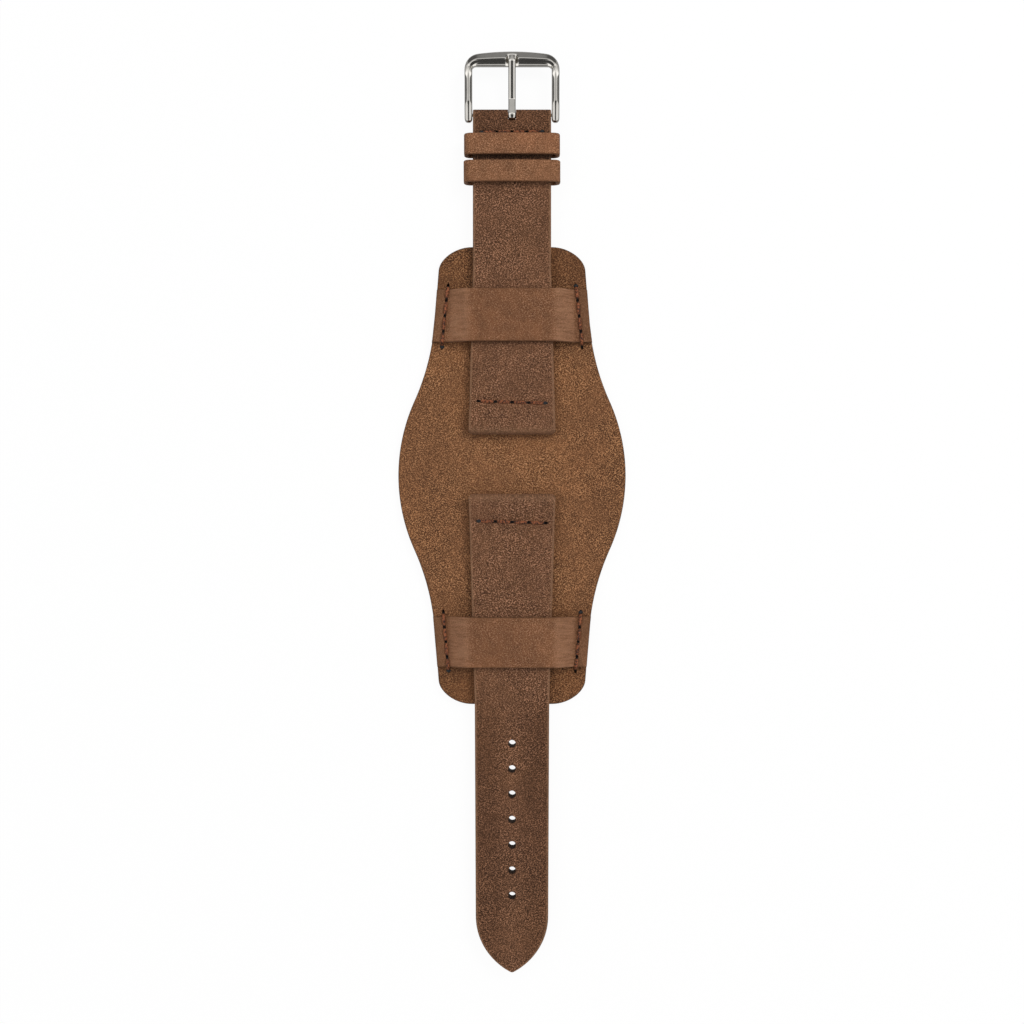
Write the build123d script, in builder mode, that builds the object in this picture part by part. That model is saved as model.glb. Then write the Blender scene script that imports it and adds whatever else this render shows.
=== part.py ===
from build123d import *
import os
from math import atan2, cos, radians, sin, sqrt, tan

# A leather bund watch strap: a wide pad that lies on the wrist, two straps that slide under
# two bridges on the pad, two keepers, and a pin buckle on a spring bar.
# All lengths are millimetres. X runs across the strap, Y along it towards the buckle, Z up.
# The origin is the middle of the pad's underside.

# Pad
pad_length = 116.2
pad_width = 57.8
pad_belly_radius = 46.0
pad_waist_radius = 61.0
pad_flank_angle = 24.2
pad_neck_angle = 4.5
pad_corner_width = 8.5
pad_corner_length = 6.0
pad_leather = 1.4
pad_lining = 0.9

# Watch lugs and the leather folded round the bars that fit between them
lug_width = 22.0
lug_bore = 1.8
lug_fold = 0.9
lug_flap_length = 12.0
lug_taper_angle = 8.0

# Straps
strap_leather = 1.5
strap_lining = 1.1
strap_over_pad = 0.2

buckle_strap_start = 10.3
buckle_strap_length = 82.2
buckle_strap_width = 19.76
buckle_strap_taper = 41.7

tail_strap_start = 4.7
tail_strap_length = 120.8
tail_waist_width = 18.8
tail_waist_distance = 53.3
tail_end_width = 18.3
tail_tip_length = 14.3
tail_tip_round = 1.0
tail_hole = 2.0
tail_hole_spacing = 6.39
tail_hole_count = 7
tail_last_hole = 19.3

# Bridges, which hold the straps on the pad
bridge_leather = 1.4
bridge_headroom = 0.3
bridge_roof_width = 22.6
bridge_foot_width = 31.6
bridge_bend = 0.9
upper_bridge_from_end = 17.7
upper_bridge_width = 13.4
lower_bridge_from_end = 15.95
lower_bridge_width = 12.7

# Thread and stitch rows
thread = 0.8
thread_neck = 0.6
thread_post = 0.5
thread_clearance = 0.06
stitch_rise = 0.1
stitch_count = 4
bridge_row_inset = 2.75
bridge_row_outside = 1.05
bridge_row_knee = 0.42
lug_stitch = 4.2
upper_lug_row = 8.15
lower_lug_row = 7.1
buckle_stitch = 3.8
buckle_row = 6.0

# Keepers
keeper_leather = 1.2
keeper_corner = 1.9
keeper_crown = 0.4
keeper_edge = 0.25
fixed_keeper_from_end = 6.45
fixed_keeper_length = 5.35
fixed_keeper_width = 24.3
free_keeper_length = 5.5
free_keeper_width = 24.5
free_keeper_gap = 1.4
free_keeper_clearance = 0.1
keeper_inner_height = 3.6

# Spring bar that carries the buckle
bar_diameter = 1.4
bar_wall = 0.2
bar_clearance = 0.05
bar_fold = 0.65
bar_flap_length = 9.0
bar_taper_angle = 6.0
bar_end_gap = 0.2
bar_lip = 0.4
tip_neck = 0.8
tip_head_length = 1.2
tip_reach = 0.85
tip_chamfer = 0.2
tip_clearance = 0.02
spring_wire = 0.18
spring_wire_sides = 8
spring_turns = 24

# Buckle frame, measured from the bar: two legs and a wedge-shaped crossbar
frame_inner_width = 20.05
frame_leg = 1.95
frame_height = 2.0
frame_bar_end = 2.5
frame_leg_angle = 20.5
frame_bend_distance = 2.4
frame_bend_radius = 2.5
frame_flat_length = 7.5
frame_flat_rise = 0.4
frame_reach = 16.0
frame_crossbar = 3.9
frame_corner = 4.0
frame_arch = 1.2
frame_crest_back = 2.1
frame_crest_height = 1.95
frame_outer_drop = 1.35
frame_inner_drop = 1.6
frame_inner_slope = 1.35
frame_under = 0.3
frame_leg_sink = 0.15
frame_edge = 0.6
crossbar_edge = 0.12
socket_depth = 1.0

# Buckle tongue
tongue_width = 2.0
tongue_curl_wall = 0.7
tongue_thickness = 0.95
tongue_bend_distance = 4.3
tongue_bend_radius = 3.0
tongue_reach = 15.3
tongue_point = 1.1
tongue_tip_width = 0.5
tongue_edge = 0.25
tongue_slot_side = 0.15
tongue_slot_depth = 3.05
tongue_notch_side = 0.25
tongue_notch_depth = 0.95
tongue_seat = 0.03
curl_slit = 0.25
curl_slit_angle = -45

# One overrun serves every cut
overrun = 1.0

# Heights
pad_top = pad_lining + pad_leather
strap_bottom = pad_top + strap_over_pad
strap_thickness = strap_leather + strap_lining
strap_top = strap_bottom + strap_thickness

# Places of the folded ends
lug_nose_radius = lug_bore / 2 + lug_fold
bar_bore = bar_diameter + 2 * bar_clearance
bar_nose_radius = bar_bore / 2 + bar_fold
buckle_strap_end = buckle_strap_start + buckle_strap_length
bar_y = buckle_strap_end - bar_nose_radius
bar_z = strap_bottom + bar_nose_radius
frame_outer_width = frame_inner_width + 2 * frame_leg
tongue_slot_width = tongue_width + 2 * tongue_slot_side

# Side planes have x along the strap and y up; plan planes have x across and y along it.
# Both start at the strap's lug end.
buckle_side = Plane(origin=(0, buckle_strap_start, strap_bottom), x_dir=(0, 1, 0), z_dir=(1, 0, 0))
buckle_plan = Plane(origin=(0, buckle_strap_start, strap_bottom), x_dir=(1, 0, 0), z_dir=(0, 0, 1))
tail_side = Plane(origin=(0, -tail_strap_start, strap_bottom), x_dir=(0, -1, 0), z_dir=(-1, 0, 0))
tail_plan = Plane(origin=(0, -tail_strap_start, strap_bottom), x_dir=(-1, 0, 0), z_dir=(0, 0, 1))
bar_plane = Plane(origin=(0, bar_y, bar_z), x_dir=(0, 1, 0), z_dir=(1, 0, 0))


os.makedirs("parts", exist_ok=True)


def save(piece, name):
    """Label one finished piece and write it as a STEP file."""
    piece.part.label = name
    export_step(piece.part, f"parts/{name}.step")


# The pad's side is a belly arc, a waist arc and a straight neck, each tangent to the next.
flank = radians(pad_flank_angle)
neck = radians(pad_neck_angle)
belly_centre_x = pad_width / 2 - pad_belly_radius
waist_centre_x = belly_centre_x + (pad_belly_radius + pad_waist_radius) * cos(flank)
waist_centre_y = (pad_belly_radius + pad_waist_radius) * sin(flank)
belly_end = (belly_centre_x + pad_belly_radius * cos(flank), pad_belly_radius * sin(flank))
waist_end = (waist_centre_x - pad_waist_radius * cos(neck), waist_centre_y - pad_waist_radius * sin(neck))
neck_end_y = pad_length / 2 - pad_corner_length
neck_end = (waist_end[0] - (neck_end_y - waist_end[1]) * tan(neck), neck_end_y)
corner_end = (neck_end[0] - pad_corner_width, pad_length / 2)


def pad_half_width(y):
    """Half the pad's width at a distance y from its middle, outside the corners."""
    if y <= belly_end[1]:
        return belly_centre_x + sqrt(pad_belly_radius**2 - y**2)
    if y <= waist_end[1]:
        return waist_centre_x - sqrt(pad_waist_radius**2 - (waist_centre_y - y) ** 2)
    return waist_end[0] - (y - waist_end[1]) * tan(neck)


def draw_pad_outline():
    """The closed outline of the pad, for a sketch that is open."""
    corner_pull_share = 0.5
    with BuildLine() as outline:
        CenterArc((belly_centre_x, 0), pad_belly_radius, 0, pad_flank_angle)
        CenterArc(
            (waist_centre_x, waist_centre_y),
            pad_waist_radius,
            180 + pad_flank_angle,
            pad_neck_angle - pad_flank_angle,
        )
        Line(waist_end, neck_end)
        Bezier(
            neck_end,
            (
                neck_end[0] - corner_pull_share * pad_corner_length * tan(neck),
                neck_end[1] + corner_pull_share * pad_corner_length,
            ),
            (corner_end[0] + corner_pull_share * pad_corner_width, corner_end[1]),
            corner_end,
        )
        Line(corner_end, (0, pad_length / 2))
        mirror(about=Plane.XZ)
        mirror(about=Plane.YZ)
    make_face(outline.edges())


def lay_stitches(points):
    """Stitches in one straight row: thickest half way between each two of the points."""
    start = Vector(*points[0])
    run = Vector(*points[-1]) - start
    places = [(Vector(*point) - start).length for point in points]
    with BuildSketch(Plane(origin=start, x_dir=run, z_dir=run.cross(Vector(0, 0, 1)))) as half:
        with BuildLine():
            for near, far in zip(places, places[1:]):
                middle = (near + far) / 2
                ThreePointArc((near, thread_neck / 2), (middle, thread / 2), (far, thread_neck / 2))
            Polyline((run.length, thread_neck / 2), (run.length, 0), (0, 0), (0, thread_neck / 2))
        make_face()
    revolve(half.sketch, axis=Axis(start, run))


def lay_run(start, end):
    """A straight run of tight thread, as thick as the thread's neck."""
    run = Vector(*end) - Vector(*start)
    with BuildSketch(Plane(origin=start, z_dir=run)) as section:
        Circle(thread_neck / 2)
    extrude(section.sketch, amount=run.length)


def lay_post(bottom, top):
    """Thread that goes straight up through a needle hole."""
    with BuildSketch(Plane(origin=bottom)) as section:
        Circle(thread_post / 2)
    extrude(section.sketch, amount=top[2] - bottom[2])


def row_points(plane, along, spacing, height):
    """The needle holes of a row across a strap, at one height over the strap's underside."""
    steps = range(stitch_count + 1)
    local = [((step - stitch_count / 2) * spacing, along, height) for step in steps]
    return [tuple(plane.from_local_coords(Vector(*point))) for point in local]


def sew_row(plane, along, spacing, surface):
    """The thread of one row across a strap, in leather whose top is at the height surface."""
    above = row_points(plane, along, spacing, surface + stitch_rise)
    below = row_points(plane, along, spacing, thread_neck / 2 + thread_clearance)
    for low, high in zip(below, above):
        lay_post(low, high)
    lay_stitches(above)
    lay_run(below[0], below[-1])


def cut_row(plane, along, spacing, surface):
    """Needle holes and thread grooves for one row across a strap."""
    groove_depth = thread / 2 - stitch_rise + thread_clearance
    groove_width = thread + 2 * thread_clearance
    under_depth = thread_neck + 2 * thread_clearance
    row_length = stitch_count * spacing
    middle = plane.from_local_coords(Vector(0, along, 0))
    with BuildSketch(Plane(origin=middle)) as holes:
        with GridLocations(spacing, spacing, stitch_count + 1, 1):
            Circle(thread_post / 2 + thread_clearance)
    extrude(holes.sketch, amount=surface + overrun, mode=Mode.SUBTRACT)
    with BuildSketch(Plane(origin=middle)) as under:
        SlotCenterToCenter(row_length, under_depth)
    extrude(under.sketch, amount=under_depth, mode=Mode.SUBTRACT)
    with BuildSketch(Plane(origin=middle).offset(surface - groove_depth)) as groove:
        SlotCenterToCenter(row_length, groove_width)
    extrude(groove.sketch, amount=groove_depth + overrun, mode=Mode.SUBTRACT)


def taper_end(nose_radius, taper_angle):
    """Where the slope behind a folded nose reaches the strap's full, even thickness."""
    angle = radians(taper_angle)
    top = (nose_radius + nose_radius * sin(angle), nose_radius + nose_radius * cos(angle))
    drop = max(top[1] - strap_thickness, 0)
    return (top[0] + drop / tan(angle), strap_thickness)


def surface_height(distance, nose_radius, taper_angle):
    """Height of the top leather over the underside, at a distance behind a folded nose."""
    slope_end = taper_end(nose_radius, taper_angle)
    return strap_thickness + max(slope_end[0] - distance, 0) * tan(radians(taper_angle))


# Pad: a thick top leather on a thinner lining, both cut to one outline
bridge_rows = {
    "upper": (pad_length / 2 - upper_bridge_from_end, upper_bridge_width, 1),
    "lower": (pad_length / 2 - lower_bridge_from_end, lower_bridge_width, -1),
}


def bridge_hole_places(centre, width, side):
    """Distances from the pad's middle and across it for a bridge's row of needle holes."""
    row = width + 2 * bridge_row_outside
    near, far = centre - row / 2, centre + row / 2
    near_x, far_x = pad_half_width(near) - bridge_row_inset, pad_half_width(far) - bridge_row_inset
    shares = [step / stitch_count for step in range(stitch_count + 1)]
    return [(side * (near_x + (far_x - near_x) * share), near + row * share) for share in shares]


with BuildPart() as pad_leather_piece:
    with BuildSketch(Plane.XY.offset(pad_lining)):
        draw_pad_outline()
    extrude(amount=pad_leather)
    chamfer(pad_leather_piece.faces().sort_by(Axis.Z)[-1].edges(), thread_neck / 2)
    for centre, width, way in bridge_rows.values():
        for side in (1, -1):
            places = [(x, way * y) for x, y in bridge_hole_places(centre, width, side)]
            with BuildSketch(Plane.XY.offset(pad_lining)):
                with Locations(*places):
                    Circle(thread_post / 2 + thread_clearance)
            extrude(amount=pad_leather, mode=Mode.SUBTRACT)
            # The hidden runs of thread lie in a groove in the leather's underside.
            with BuildSketch(Plane.XY.offset(pad_lining)):
                SlotCenterPoint(
                    places[stitch_count // 2], places[-1], thread_neck + 2 * thread_clearance
                )
            extrude(amount=thread_neck + 2 * thread_clearance, mode=Mode.SUBTRACT)
save(pad_leather_piece, "pad_leather")

with BuildPart() as pad_lining_piece:
    with BuildSketch():
        draw_pad_outline()
    extrude(amount=pad_lining)
save(pad_lining_piece, "pad_lining")

# Bridges: strips that lie flat on the pad at both ends and rise over the strap between
bridge_rise = strap_top + bridge_headroom - pad_top
bridge_slope = (bridge_foot_width - bridge_roof_width) / 2
# The upper face bends a little further out than the lower one, so the strip keeps its thickness.
bridge_shift = bridge_leather * tan(atan2(bridge_rise, bridge_slope) / 2)


def draw_bridge_side():
    """The bridge seen along the strap, wider than the pad."""
    half = pad_width / 2 + overrun
    under = [
        (half, pad_top),
        (bridge_foot_width / 2, pad_top),
        (bridge_roof_width / 2, pad_top + bridge_rise),
        (0, pad_top + bridge_rise),
    ]
    over = [
        (half, pad_top + bridge_leather),
        (bridge_foot_width / 2 + bridge_shift, pad_top + bridge_leather),
        (bridge_roof_width / 2 + bridge_shift, pad_top + bridge_rise + bridge_leather),
        (0, pad_top + bridge_rise + bridge_leather),
    ]
    outside_bend = bridge_bend + bridge_leather
    with BuildLine() as outline:
        FilletPolyline(*under, radius=[outside_bend, bridge_bend])
        FilletPolyline(*over, radius=[bridge_bend, outside_bend])
        Line(under[0], over[0])
        mirror(about=Plane.YZ)
    make_face(outline.edges())


def make_bridge(centre, width, way):
    """One bridge with its needle holes and thread grooves, its ends flush with the pad's sides."""
    groove_depth = thread / 2 - stitch_rise + thread_clearance
    groove_width = thread + 2 * thread_clearance
    foot_top = pad_top + bridge_leather
    with BuildPart() as bridge:
        with BuildSketch(Plane.XZ.offset(-way * centre)):
            draw_bridge_side()
        extrude(amount=width / 2, both=True)
        with BuildSketch(Plane.XY.offset(pad_top)):
            draw_pad_outline()
        extrude(amount=bridge_rise + bridge_leather + overrun, mode=Mode.INTERSECT)
        for side in (1, -1):
            places = [(x, way * y) for x, y in bridge_hole_places(centre, width, side)]
            with BuildSketch(Plane.XY.offset(pad_top)):
                with Locations(*places[1:-1]):
                    Circle(thread_post / 2 + thread_clearance)
            extrude(amount=bridge_leather, mode=Mode.SUBTRACT)
            with BuildSketch(Plane.XY.offset(foot_top - groove_depth)):
                SlotCenterPoint(places[stitch_count // 2], places[-1], groove_width)
            extrude(amount=groove_depth + bridge_rise, mode=Mode.SUBTRACT)
    return bridge


def make_bridge_thread(centre, width, way, side):
    """The thread of one row: over the bridge, round both its edges and under the pad leather."""
    places = [(x, way * y) for x, y in bridge_hole_places(centre, width, side)]
    below = pad_lining + thread_neck / 2 + thread_clearance
    on_pad = pad_top + 2 * stitch_rise
    on_bridge = pad_top + bridge_leather + stitch_rise
    with BuildPart() as row:
        for index, (x, y) in enumerate(places):
            outer = index in (0, stitch_count)
            lay_post((x, y, below), (x, y, on_pad if outer else on_bridge))
        lay_run((*places[0], below), (*places[-1], below))
        knees = []
        for outer, inner in ((places[0], places[1]), (places[-1], places[-2])):
            share = (bridge_row_outside - bridge_row_knee) / abs(inner[1] - outer[1])
            knee = tuple(a + (b - a) * share for a, b in zip(outer, inner))
            lay_run((*outer, on_pad), (*knee, on_bridge))
            with Locations((*knee, on_bridge)):
                Sphere(thread / 2)
            knees.append(knee)
        lay_stitches([(*point, on_bridge) for point in (knees[0], *places[1:-1], knees[1])])
    return row


for name, (centre, width, way) in bridge_rows.items():
    save(make_bridge(centre, width, way), f"{name}_bridge")
    save(make_bridge_thread(centre, width, way, -1), f"{name}_bridge_thread_left")
    save(make_bridge_thread(centre, width, way, 1), f"{name}_bridge_thread_right")

# Buckle strap: the top leather is folded round both bars, and the lining lies between the flaps.
def draw_lug_nose():
    """The fold round a watch bar, from the underside over the nose to the even thickness."""
    nose = CenterArc((lug_nose_radius, lug_nose_radius), lug_nose_radius, 270, -180 - lug_taper_angle)
    Line(nose @ 1, taper_end(lug_nose_radius, lug_taper_angle))


def draw_bar_nose():
    """The fold round the buckle's bar, from the even thickness over the nose to the underside."""
    slope_end = taper_end(bar_nose_radius, bar_taper_angle)
    centre = (buckle_strap_length - bar_nose_radius, bar_nose_radius)
    nose = CenterArc(centre, bar_nose_radius, 90 + bar_taper_angle, -180 - bar_taper_angle)
    Line((buckle_strap_length - slope_end[0], strap_thickness), nose @ 0)


def draw_buckle_strap_plan():
    """The buckle strap from above: widest at the lugs, even from the taper's end to the bar."""
    with BuildLine() as outline:
        Polyline(
            (0, 0),
            (lug_width / 2, 0),
            (buckle_strap_width / 2, buckle_strap_taper),
            (buckle_strap_width / 2, buckle_strap_length),
            (0, buckle_strap_length),
        )
        mirror(about=Plane.YZ)
    make_face(outline.edges())


buckle_lining_end = buckle_strap_length - bar_flap_length
buckle_row_place = buckle_strap_length - buckle_row
upper_lug_surface = surface_height(upper_lug_row, lug_nose_radius, lug_taper_angle)
lower_lug_surface = surface_height(lower_lug_row, lug_nose_radius, lug_taper_angle)
buckle_surface = surface_height(buckle_row, bar_nose_radius, bar_taper_angle)
fold_height = 2 * max(lug_nose_radius, bar_nose_radius) + overrun

with BuildPart() as buckle_leather_piece:
    with BuildSketch(buckle_side):
        with BuildLine():
            draw_lug_nose()
            Line(
                taper_end(lug_nose_radius, lug_taper_angle),
                (buckle_strap_length - taper_end(bar_nose_radius, bar_taper_angle)[0], strap_thickness),
            )
            draw_bar_nose()
            Polyline(
                (buckle_strap_length - bar_nose_radius, 0),
                (buckle_lining_end, 0),
                (buckle_lining_end, strap_lining),
                (lug_flap_length, strap_lining),
                (lug_flap_length, 0),
                (lug_nose_radius, 0),
            )
        make_face()
        with Locations((lug_nose_radius, lug_nose_radius)):
            Circle(lug_bore / 2, mode=Mode.SUBTRACT)
        with Locations((buckle_strap_length - bar_nose_radius, bar_nose_radius)):
            Circle(bar_bore / 2, mode=Mode.SUBTRACT)
    extrude(amount=lug_width / 2 + overrun, both=True)
    with BuildSketch(buckle_plan):
        draw_buckle_strap_plan()
    extrude(amount=fold_height, mode=Mode.INTERSECT)
    with BuildSketch(buckle_plan):
        with Locations((0, buckle_strap_length - tongue_slot_depth)):
            Rectangle(tongue_slot_width, tongue_slot_depth + overrun, align=(Align.CENTER, Align.MIN))
    extrude(amount=fold_height, mode=Mode.SUBTRACT)
    cut_row(buckle_plan, upper_lug_row, lug_stitch, upper_lug_surface)
    cut_row(buckle_plan, buckle_row_place, buckle_stitch, buckle_surface)
save(buckle_leather_piece, "buckle_strap_leather")

with BuildPart() as buckle_lining_piece:
    with BuildSketch(buckle_side):
        with Locations((lug_flap_length, 0)):
            Rectangle(buckle_lining_end - lug_flap_length, strap_lining, align=(Align.MIN, Align.MIN))
    extrude(amount=lug_width / 2, both=True)
    with BuildSketch(buckle_plan):
        draw_buckle_strap_plan()
    extrude(amount=fold_height, mode=Mode.INTERSECT)
save(buckle_lining_piece, "buckle_strap_lining")

with BuildPart() as buckle_lug_thread:
    sew_row(buckle_plan, upper_lug_row, lug_stitch, upper_lug_surface)
save(buckle_lug_thread, "buckle_strap_lug_thread")

with BuildPart() as buckle_end_thread:
    sew_row(buckle_plan, buckle_row_place, buckle_stitch, buckle_surface)
save(buckle_end_thread, "buckle_end_thread")


# Tail strap: folded at the watch bar only, with a pointed tip and a row of holes
def draw_tail_strap_plan():
    """The tail strap from above: two tapers, then two arcs that meet at the rounded tip."""
    with BuildLine() as outline:
        side = Polyline(
            (0, 0),
            (lug_width / 2, 0),
            (tail_waist_width / 2, tail_waist_distance),
            (tail_end_width / 2, tail_strap_length - tail_tip_length),
        )
        TangentArc(side @ 1, (0, tail_strap_length), tangent=(0, 1))
        mirror(about=Plane.YZ)
    make_face(outline.edges())


def cut_tail_holes():
    """The row of round holes for the buckle's tongue, counted back from the tip."""
    row_length = tail_hole_spacing * (tail_hole_count - 1)
    with BuildSketch(tail_plan) as holes:
        with Locations((0, tail_strap_length - tail_last_hole - row_length / 2)):
            with GridLocations(tail_hole_spacing, tail_hole_spacing, 1, tail_hole_count):
                Circle(tail_hole / 2)
    extrude(holes.sketch, amount=fold_height, mode=Mode.SUBTRACT)


with BuildPart() as tail_leather_piece:
    with BuildSketch(tail_side):
        with BuildLine():
            draw_lug_nose()
            Polyline(
                taper_end(lug_nose_radius, lug_taper_angle),
                (tail_strap_length, strap_thickness),
                (tail_strap_length, strap_lining),
                (lug_flap_length, strap_lining),
                (lug_flap_length, 0),
                (lug_nose_radius, 0),
            )
        make_face()
        with Locations((lug_nose_radius, lug_nose_radius)):
            Circle(lug_bore / 2, mode=Mode.SUBTRACT)
    extrude(amount=lug_width / 2 + overrun, both=True)
    with BuildSketch(tail_plan):
        draw_tail_strap_plan()
    extrude(amount=fold_height, mode=Mode.INTERSECT)
    fillet(tail_leather_piece.edges().filter_by(Axis.Z).sort_by(Axis.Y)[0], tail_tip_round)
    cut_tail_holes()
    cut_row(tail_plan, lower_lug_row, lug_stitch, lower_lug_surface)
save(tail_leather_piece, "tail_strap_leather")

with BuildPart() as tail_lining_piece:
    with BuildSketch(tail_side):
        with Locations((lug_flap_length, 0)):
            Rectangle(tail_strap_length - lug_flap_length, strap_lining, align=(Align.MIN, Align.MIN))
    extrude(amount=lug_width / 2, both=True)
    with BuildSketch(tail_plan):
        draw_tail_strap_plan()
    extrude(amount=fold_height, mode=Mode.INTERSECT)
    fillet(tail_lining_piece.edges().filter_by(Axis.Z).sort_by(Axis.Y)[0], tail_tip_round)
    cut_tail_holes()
save(tail_lining_piece, "tail_strap_lining")

with BuildPart() as tail_lug_thread:
    sew_row(tail_plan, lower_lug_row, lug_stitch, lower_lug_surface)
save(tail_lug_thread, "tail_strap_lug_thread")


# Keepers: leather loops round the strap, one sewn in place and one that slides
def make_keeper(start, length, width, inner_bottom):
    """A loop with a slightly crowned top and rounded corners."""
    bottom = inner_bottom - keeper_leather
    top = inner_bottom + keeper_inner_height + keeper_leather
    with BuildPart() as keeper:
        with BuildSketch(Plane(origin=(0, start, 0), x_dir=(-1, 0, 0), z_dir=(0, 1, 0))) as section:
            with BuildLine():
                Polyline(
                    (-width / 2, top - keeper_crown),
                    (-width / 2, bottom),
                    (width / 2, bottom),
                    (width / 2, top - keeper_crown),
                )
                ThreePointArc(
                    (width / 2, top - keeper_crown), (0, top), (-width / 2, top - keeper_crown)
                )
            make_face()
            fillet(section.vertices(), keeper_corner)
            offset(section.faces(), amount=-keeper_leather, mode=Mode.SUBTRACT)
        extrude(amount=length)
        ends = keeper.edges().group_by(Axis.Y)
        fillet(ends[0] + ends[-1], keeper_edge)
    return keeper


fixed_keeper_start = buckle_strap_end - fixed_keeper_from_end - fixed_keeper_length
free_keeper_start = fixed_keeper_start - free_keeper_gap - free_keeper_length
save(make_keeper(fixed_keeper_start, fixed_keeper_length, fixed_keeper_width, strap_bottom), "fixed_keeper")
save(
    make_keeper(
        free_keeper_start,
        free_keeper_length,
        free_keeper_width,
        strap_bottom - free_keeper_clearance,
    ),
    "free_keeper",
)

# Spring bar: a tube with a coil spring inside that pushes a stepped tip out of each end
bar_axis = Axis((0, bar_y, bar_z), (1, 0, 0))
bar_profile = Plane(origin=(0, bar_y, bar_z), x_dir=(1, 0, 0), z_dir=(0, -1, 0))
bar_radius = bar_diameter / 2
bar_inside = bar_radius - bar_wall
bar_half = frame_inner_width / 2 - bar_end_gap
tip_hole = tip_neck / 2 + tip_clearance
tip_shoulder = bar_half - bar_lip - tip_clearance
tip_back = tip_shoulder - tip_head_length
tip_end = frame_inner_width / 2 + tip_reach

with BuildPart() as bar_tube:
    with BuildSketch(bar_profile) as half_tube:
        with BuildLine():
            Polyline(
                (0, bar_radius),
                (bar_half, bar_radius),
                (bar_half, tip_hole),
                (bar_half - bar_lip, tip_hole),
                (bar_half - bar_lip, bar_inside),
                (0, bar_inside),
            )
            mirror(about=Plane.YZ)
        make_face()
    revolve(axis=bar_axis)
save(bar_tube, "buckle_bar_tube")

for side, name in ((-1, "bar_tip_left"), (1, "bar_tip_right")):
    head = bar_inside - tip_clearance
    with BuildPart() as bar_tip:
        with BuildSketch(bar_profile):
            with BuildLine():
                Polyline(
                    (side * tip_back, 0),
                    (side * tip_back, head),
                    (side * tip_shoulder, head),
                    (side * tip_shoulder, tip_neck / 2),
                    (side * (tip_end - tip_chamfer), tip_neck / 2),
                    (side * tip_end, tip_neck / 2 - tip_chamfer),
                    (side * tip_end, 0),
                    close=True,
                )
            make_face()
        revolve(axis=bar_axis)
    save(bar_tip, name)

spring_half = tip_back - tip_clearance - spring_wire / 2
spring_radius = bar_inside - tip_clearance - spring_wire / 2
with BuildPart() as bar_spring:
    with BuildLine() as coil:
        Helix(
            pitch=2 * spring_half / spring_turns,
            height=2 * spring_half,
            radius=spring_radius,
            center=(-spring_half, bar_y, bar_z),
            direction=(1, 0, 0),
        )
    with BuildSketch(Plane(origin=coil.line @ 0, z_dir=coil.line % 0)):
        RegularPolygon(spring_wire / 2, spring_wire_sides)
    sweep(path=coil.line, is_frenet=True)
save(bar_spring, "buckle_bar_spring")

# Buckle frame: legs that pass beside the strap and a crossbar with a crest and a notch
leg_rise = tan(radians(frame_leg_angle))
leg_end = frame_bar_end - frame_height / 2
flat_end = frame_bend_distance + frame_flat_length
flat_height = frame_bend_distance * leg_rise
crest = (frame_reach - frame_crest_back, frame_crest_height)
inner_foot = frame_reach - frame_crossbar
notch_floor = frame_crest_height - tongue_notch_depth

with BuildPart() as buckle_frame:
    # Crossbar
    with BuildSketch(bar_plane) as wedge:
        with BuildLine():
            Polyline(
                (inner_foot + frame_under, -frame_under),
                (frame_reach, -frame_under),
                (frame_reach, frame_crest_height - frame_outer_drop),
                crest,
                (crest[0] - frame_inner_slope, frame_crest_height - frame_inner_drop),
                (inner_foot, 0),
                close=True,
            )
        make_face()
        fillet(wedge.vertices(), crossbar_edge)
    extrude(amount=frame_outer_width / 2, both=True)
    # Legs: a rounded section along a bent line, with a round end behind the bar
    for side in (-1, 1):
        with BuildLine(bar_plane.offset(side * (frame_inner_width + frame_leg) / 2)) as leg_line:
            FilletPolyline(
                (-leg_end, -leg_end * leg_rise),
                (frame_bend_distance, flat_height),
                (flat_end, flat_height + frame_flat_rise),
                (crest[0], frame_crest_height - frame_height / 2 - frame_leg_sink),
                radius=frame_bend_radius,
            )
        leg_plane = Plane(origin=leg_line.line @ 0, x_dir=(1, 0, 0), z_dir=leg_line.line % 0)
        with BuildSketch(leg_plane) as leg_section:
            RectangleRounded(frame_leg, frame_height, frame_edge)
        sweep(leg_section.sketch, path=leg_line.line)
        with BuildSketch(leg_plane) as upper_half:
            RectangleRounded(frame_leg, frame_height, frame_edge)
            Rectangle(frame_leg, frame_height, align=(Align.CENTER, Align.MAX), mode=Mode.SUBTRACT)
        revolve(upper_half.sketch, axis=Axis(leg_plane.origin, (1, 0, 0)), revolution_arc=180)
    # Arched outline from above
    with BuildSketch(Plane(origin=(0, bar_y, bar_z - frame_reach))) as frame_plan:
        with BuildLine():
            Polyline(
                (-frame_outer_width / 2, frame_reach - frame_arch),
                (-frame_outer_width / 2, -frame_bar_end - overrun),
                (frame_outer_width / 2, -frame_bar_end - overrun),
                (frame_outer_width / 2, frame_reach - frame_arch),
            )
            ThreePointArc(
                (frame_outer_width / 2, frame_reach - frame_arch),
                (0, frame_reach),
                (-frame_outer_width / 2, frame_reach - frame_arch),
            )
        make_face()
        fillet(frame_plan.vertices().group_by(Axis.Y)[-1], frame_corner)
    extrude(amount=2 * frame_reach, mode=Mode.INTERSECT)
    # Notch for the tongue's tip
    with BuildSketch(Plane(origin=(0, bar_y, bar_z + notch_floor))):
        with Locations((0, frame_reach)):
            Rectangle(tongue_width + 2 * tongue_notch_side, 2 * frame_crossbar)
    extrude(amount=frame_crest_height, mode=Mode.SUBTRACT)
    # Blind sockets for the bar's tips
    for side in (-1, 1):
        with BuildSketch(bar_plane.offset(side * frame_inner_width / 2)):
            Circle(tip_hole)
        extrude(amount=side * socket_depth, mode=Mode.SUBTRACT)
save(buckle_frame, "buckle_frame")

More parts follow.
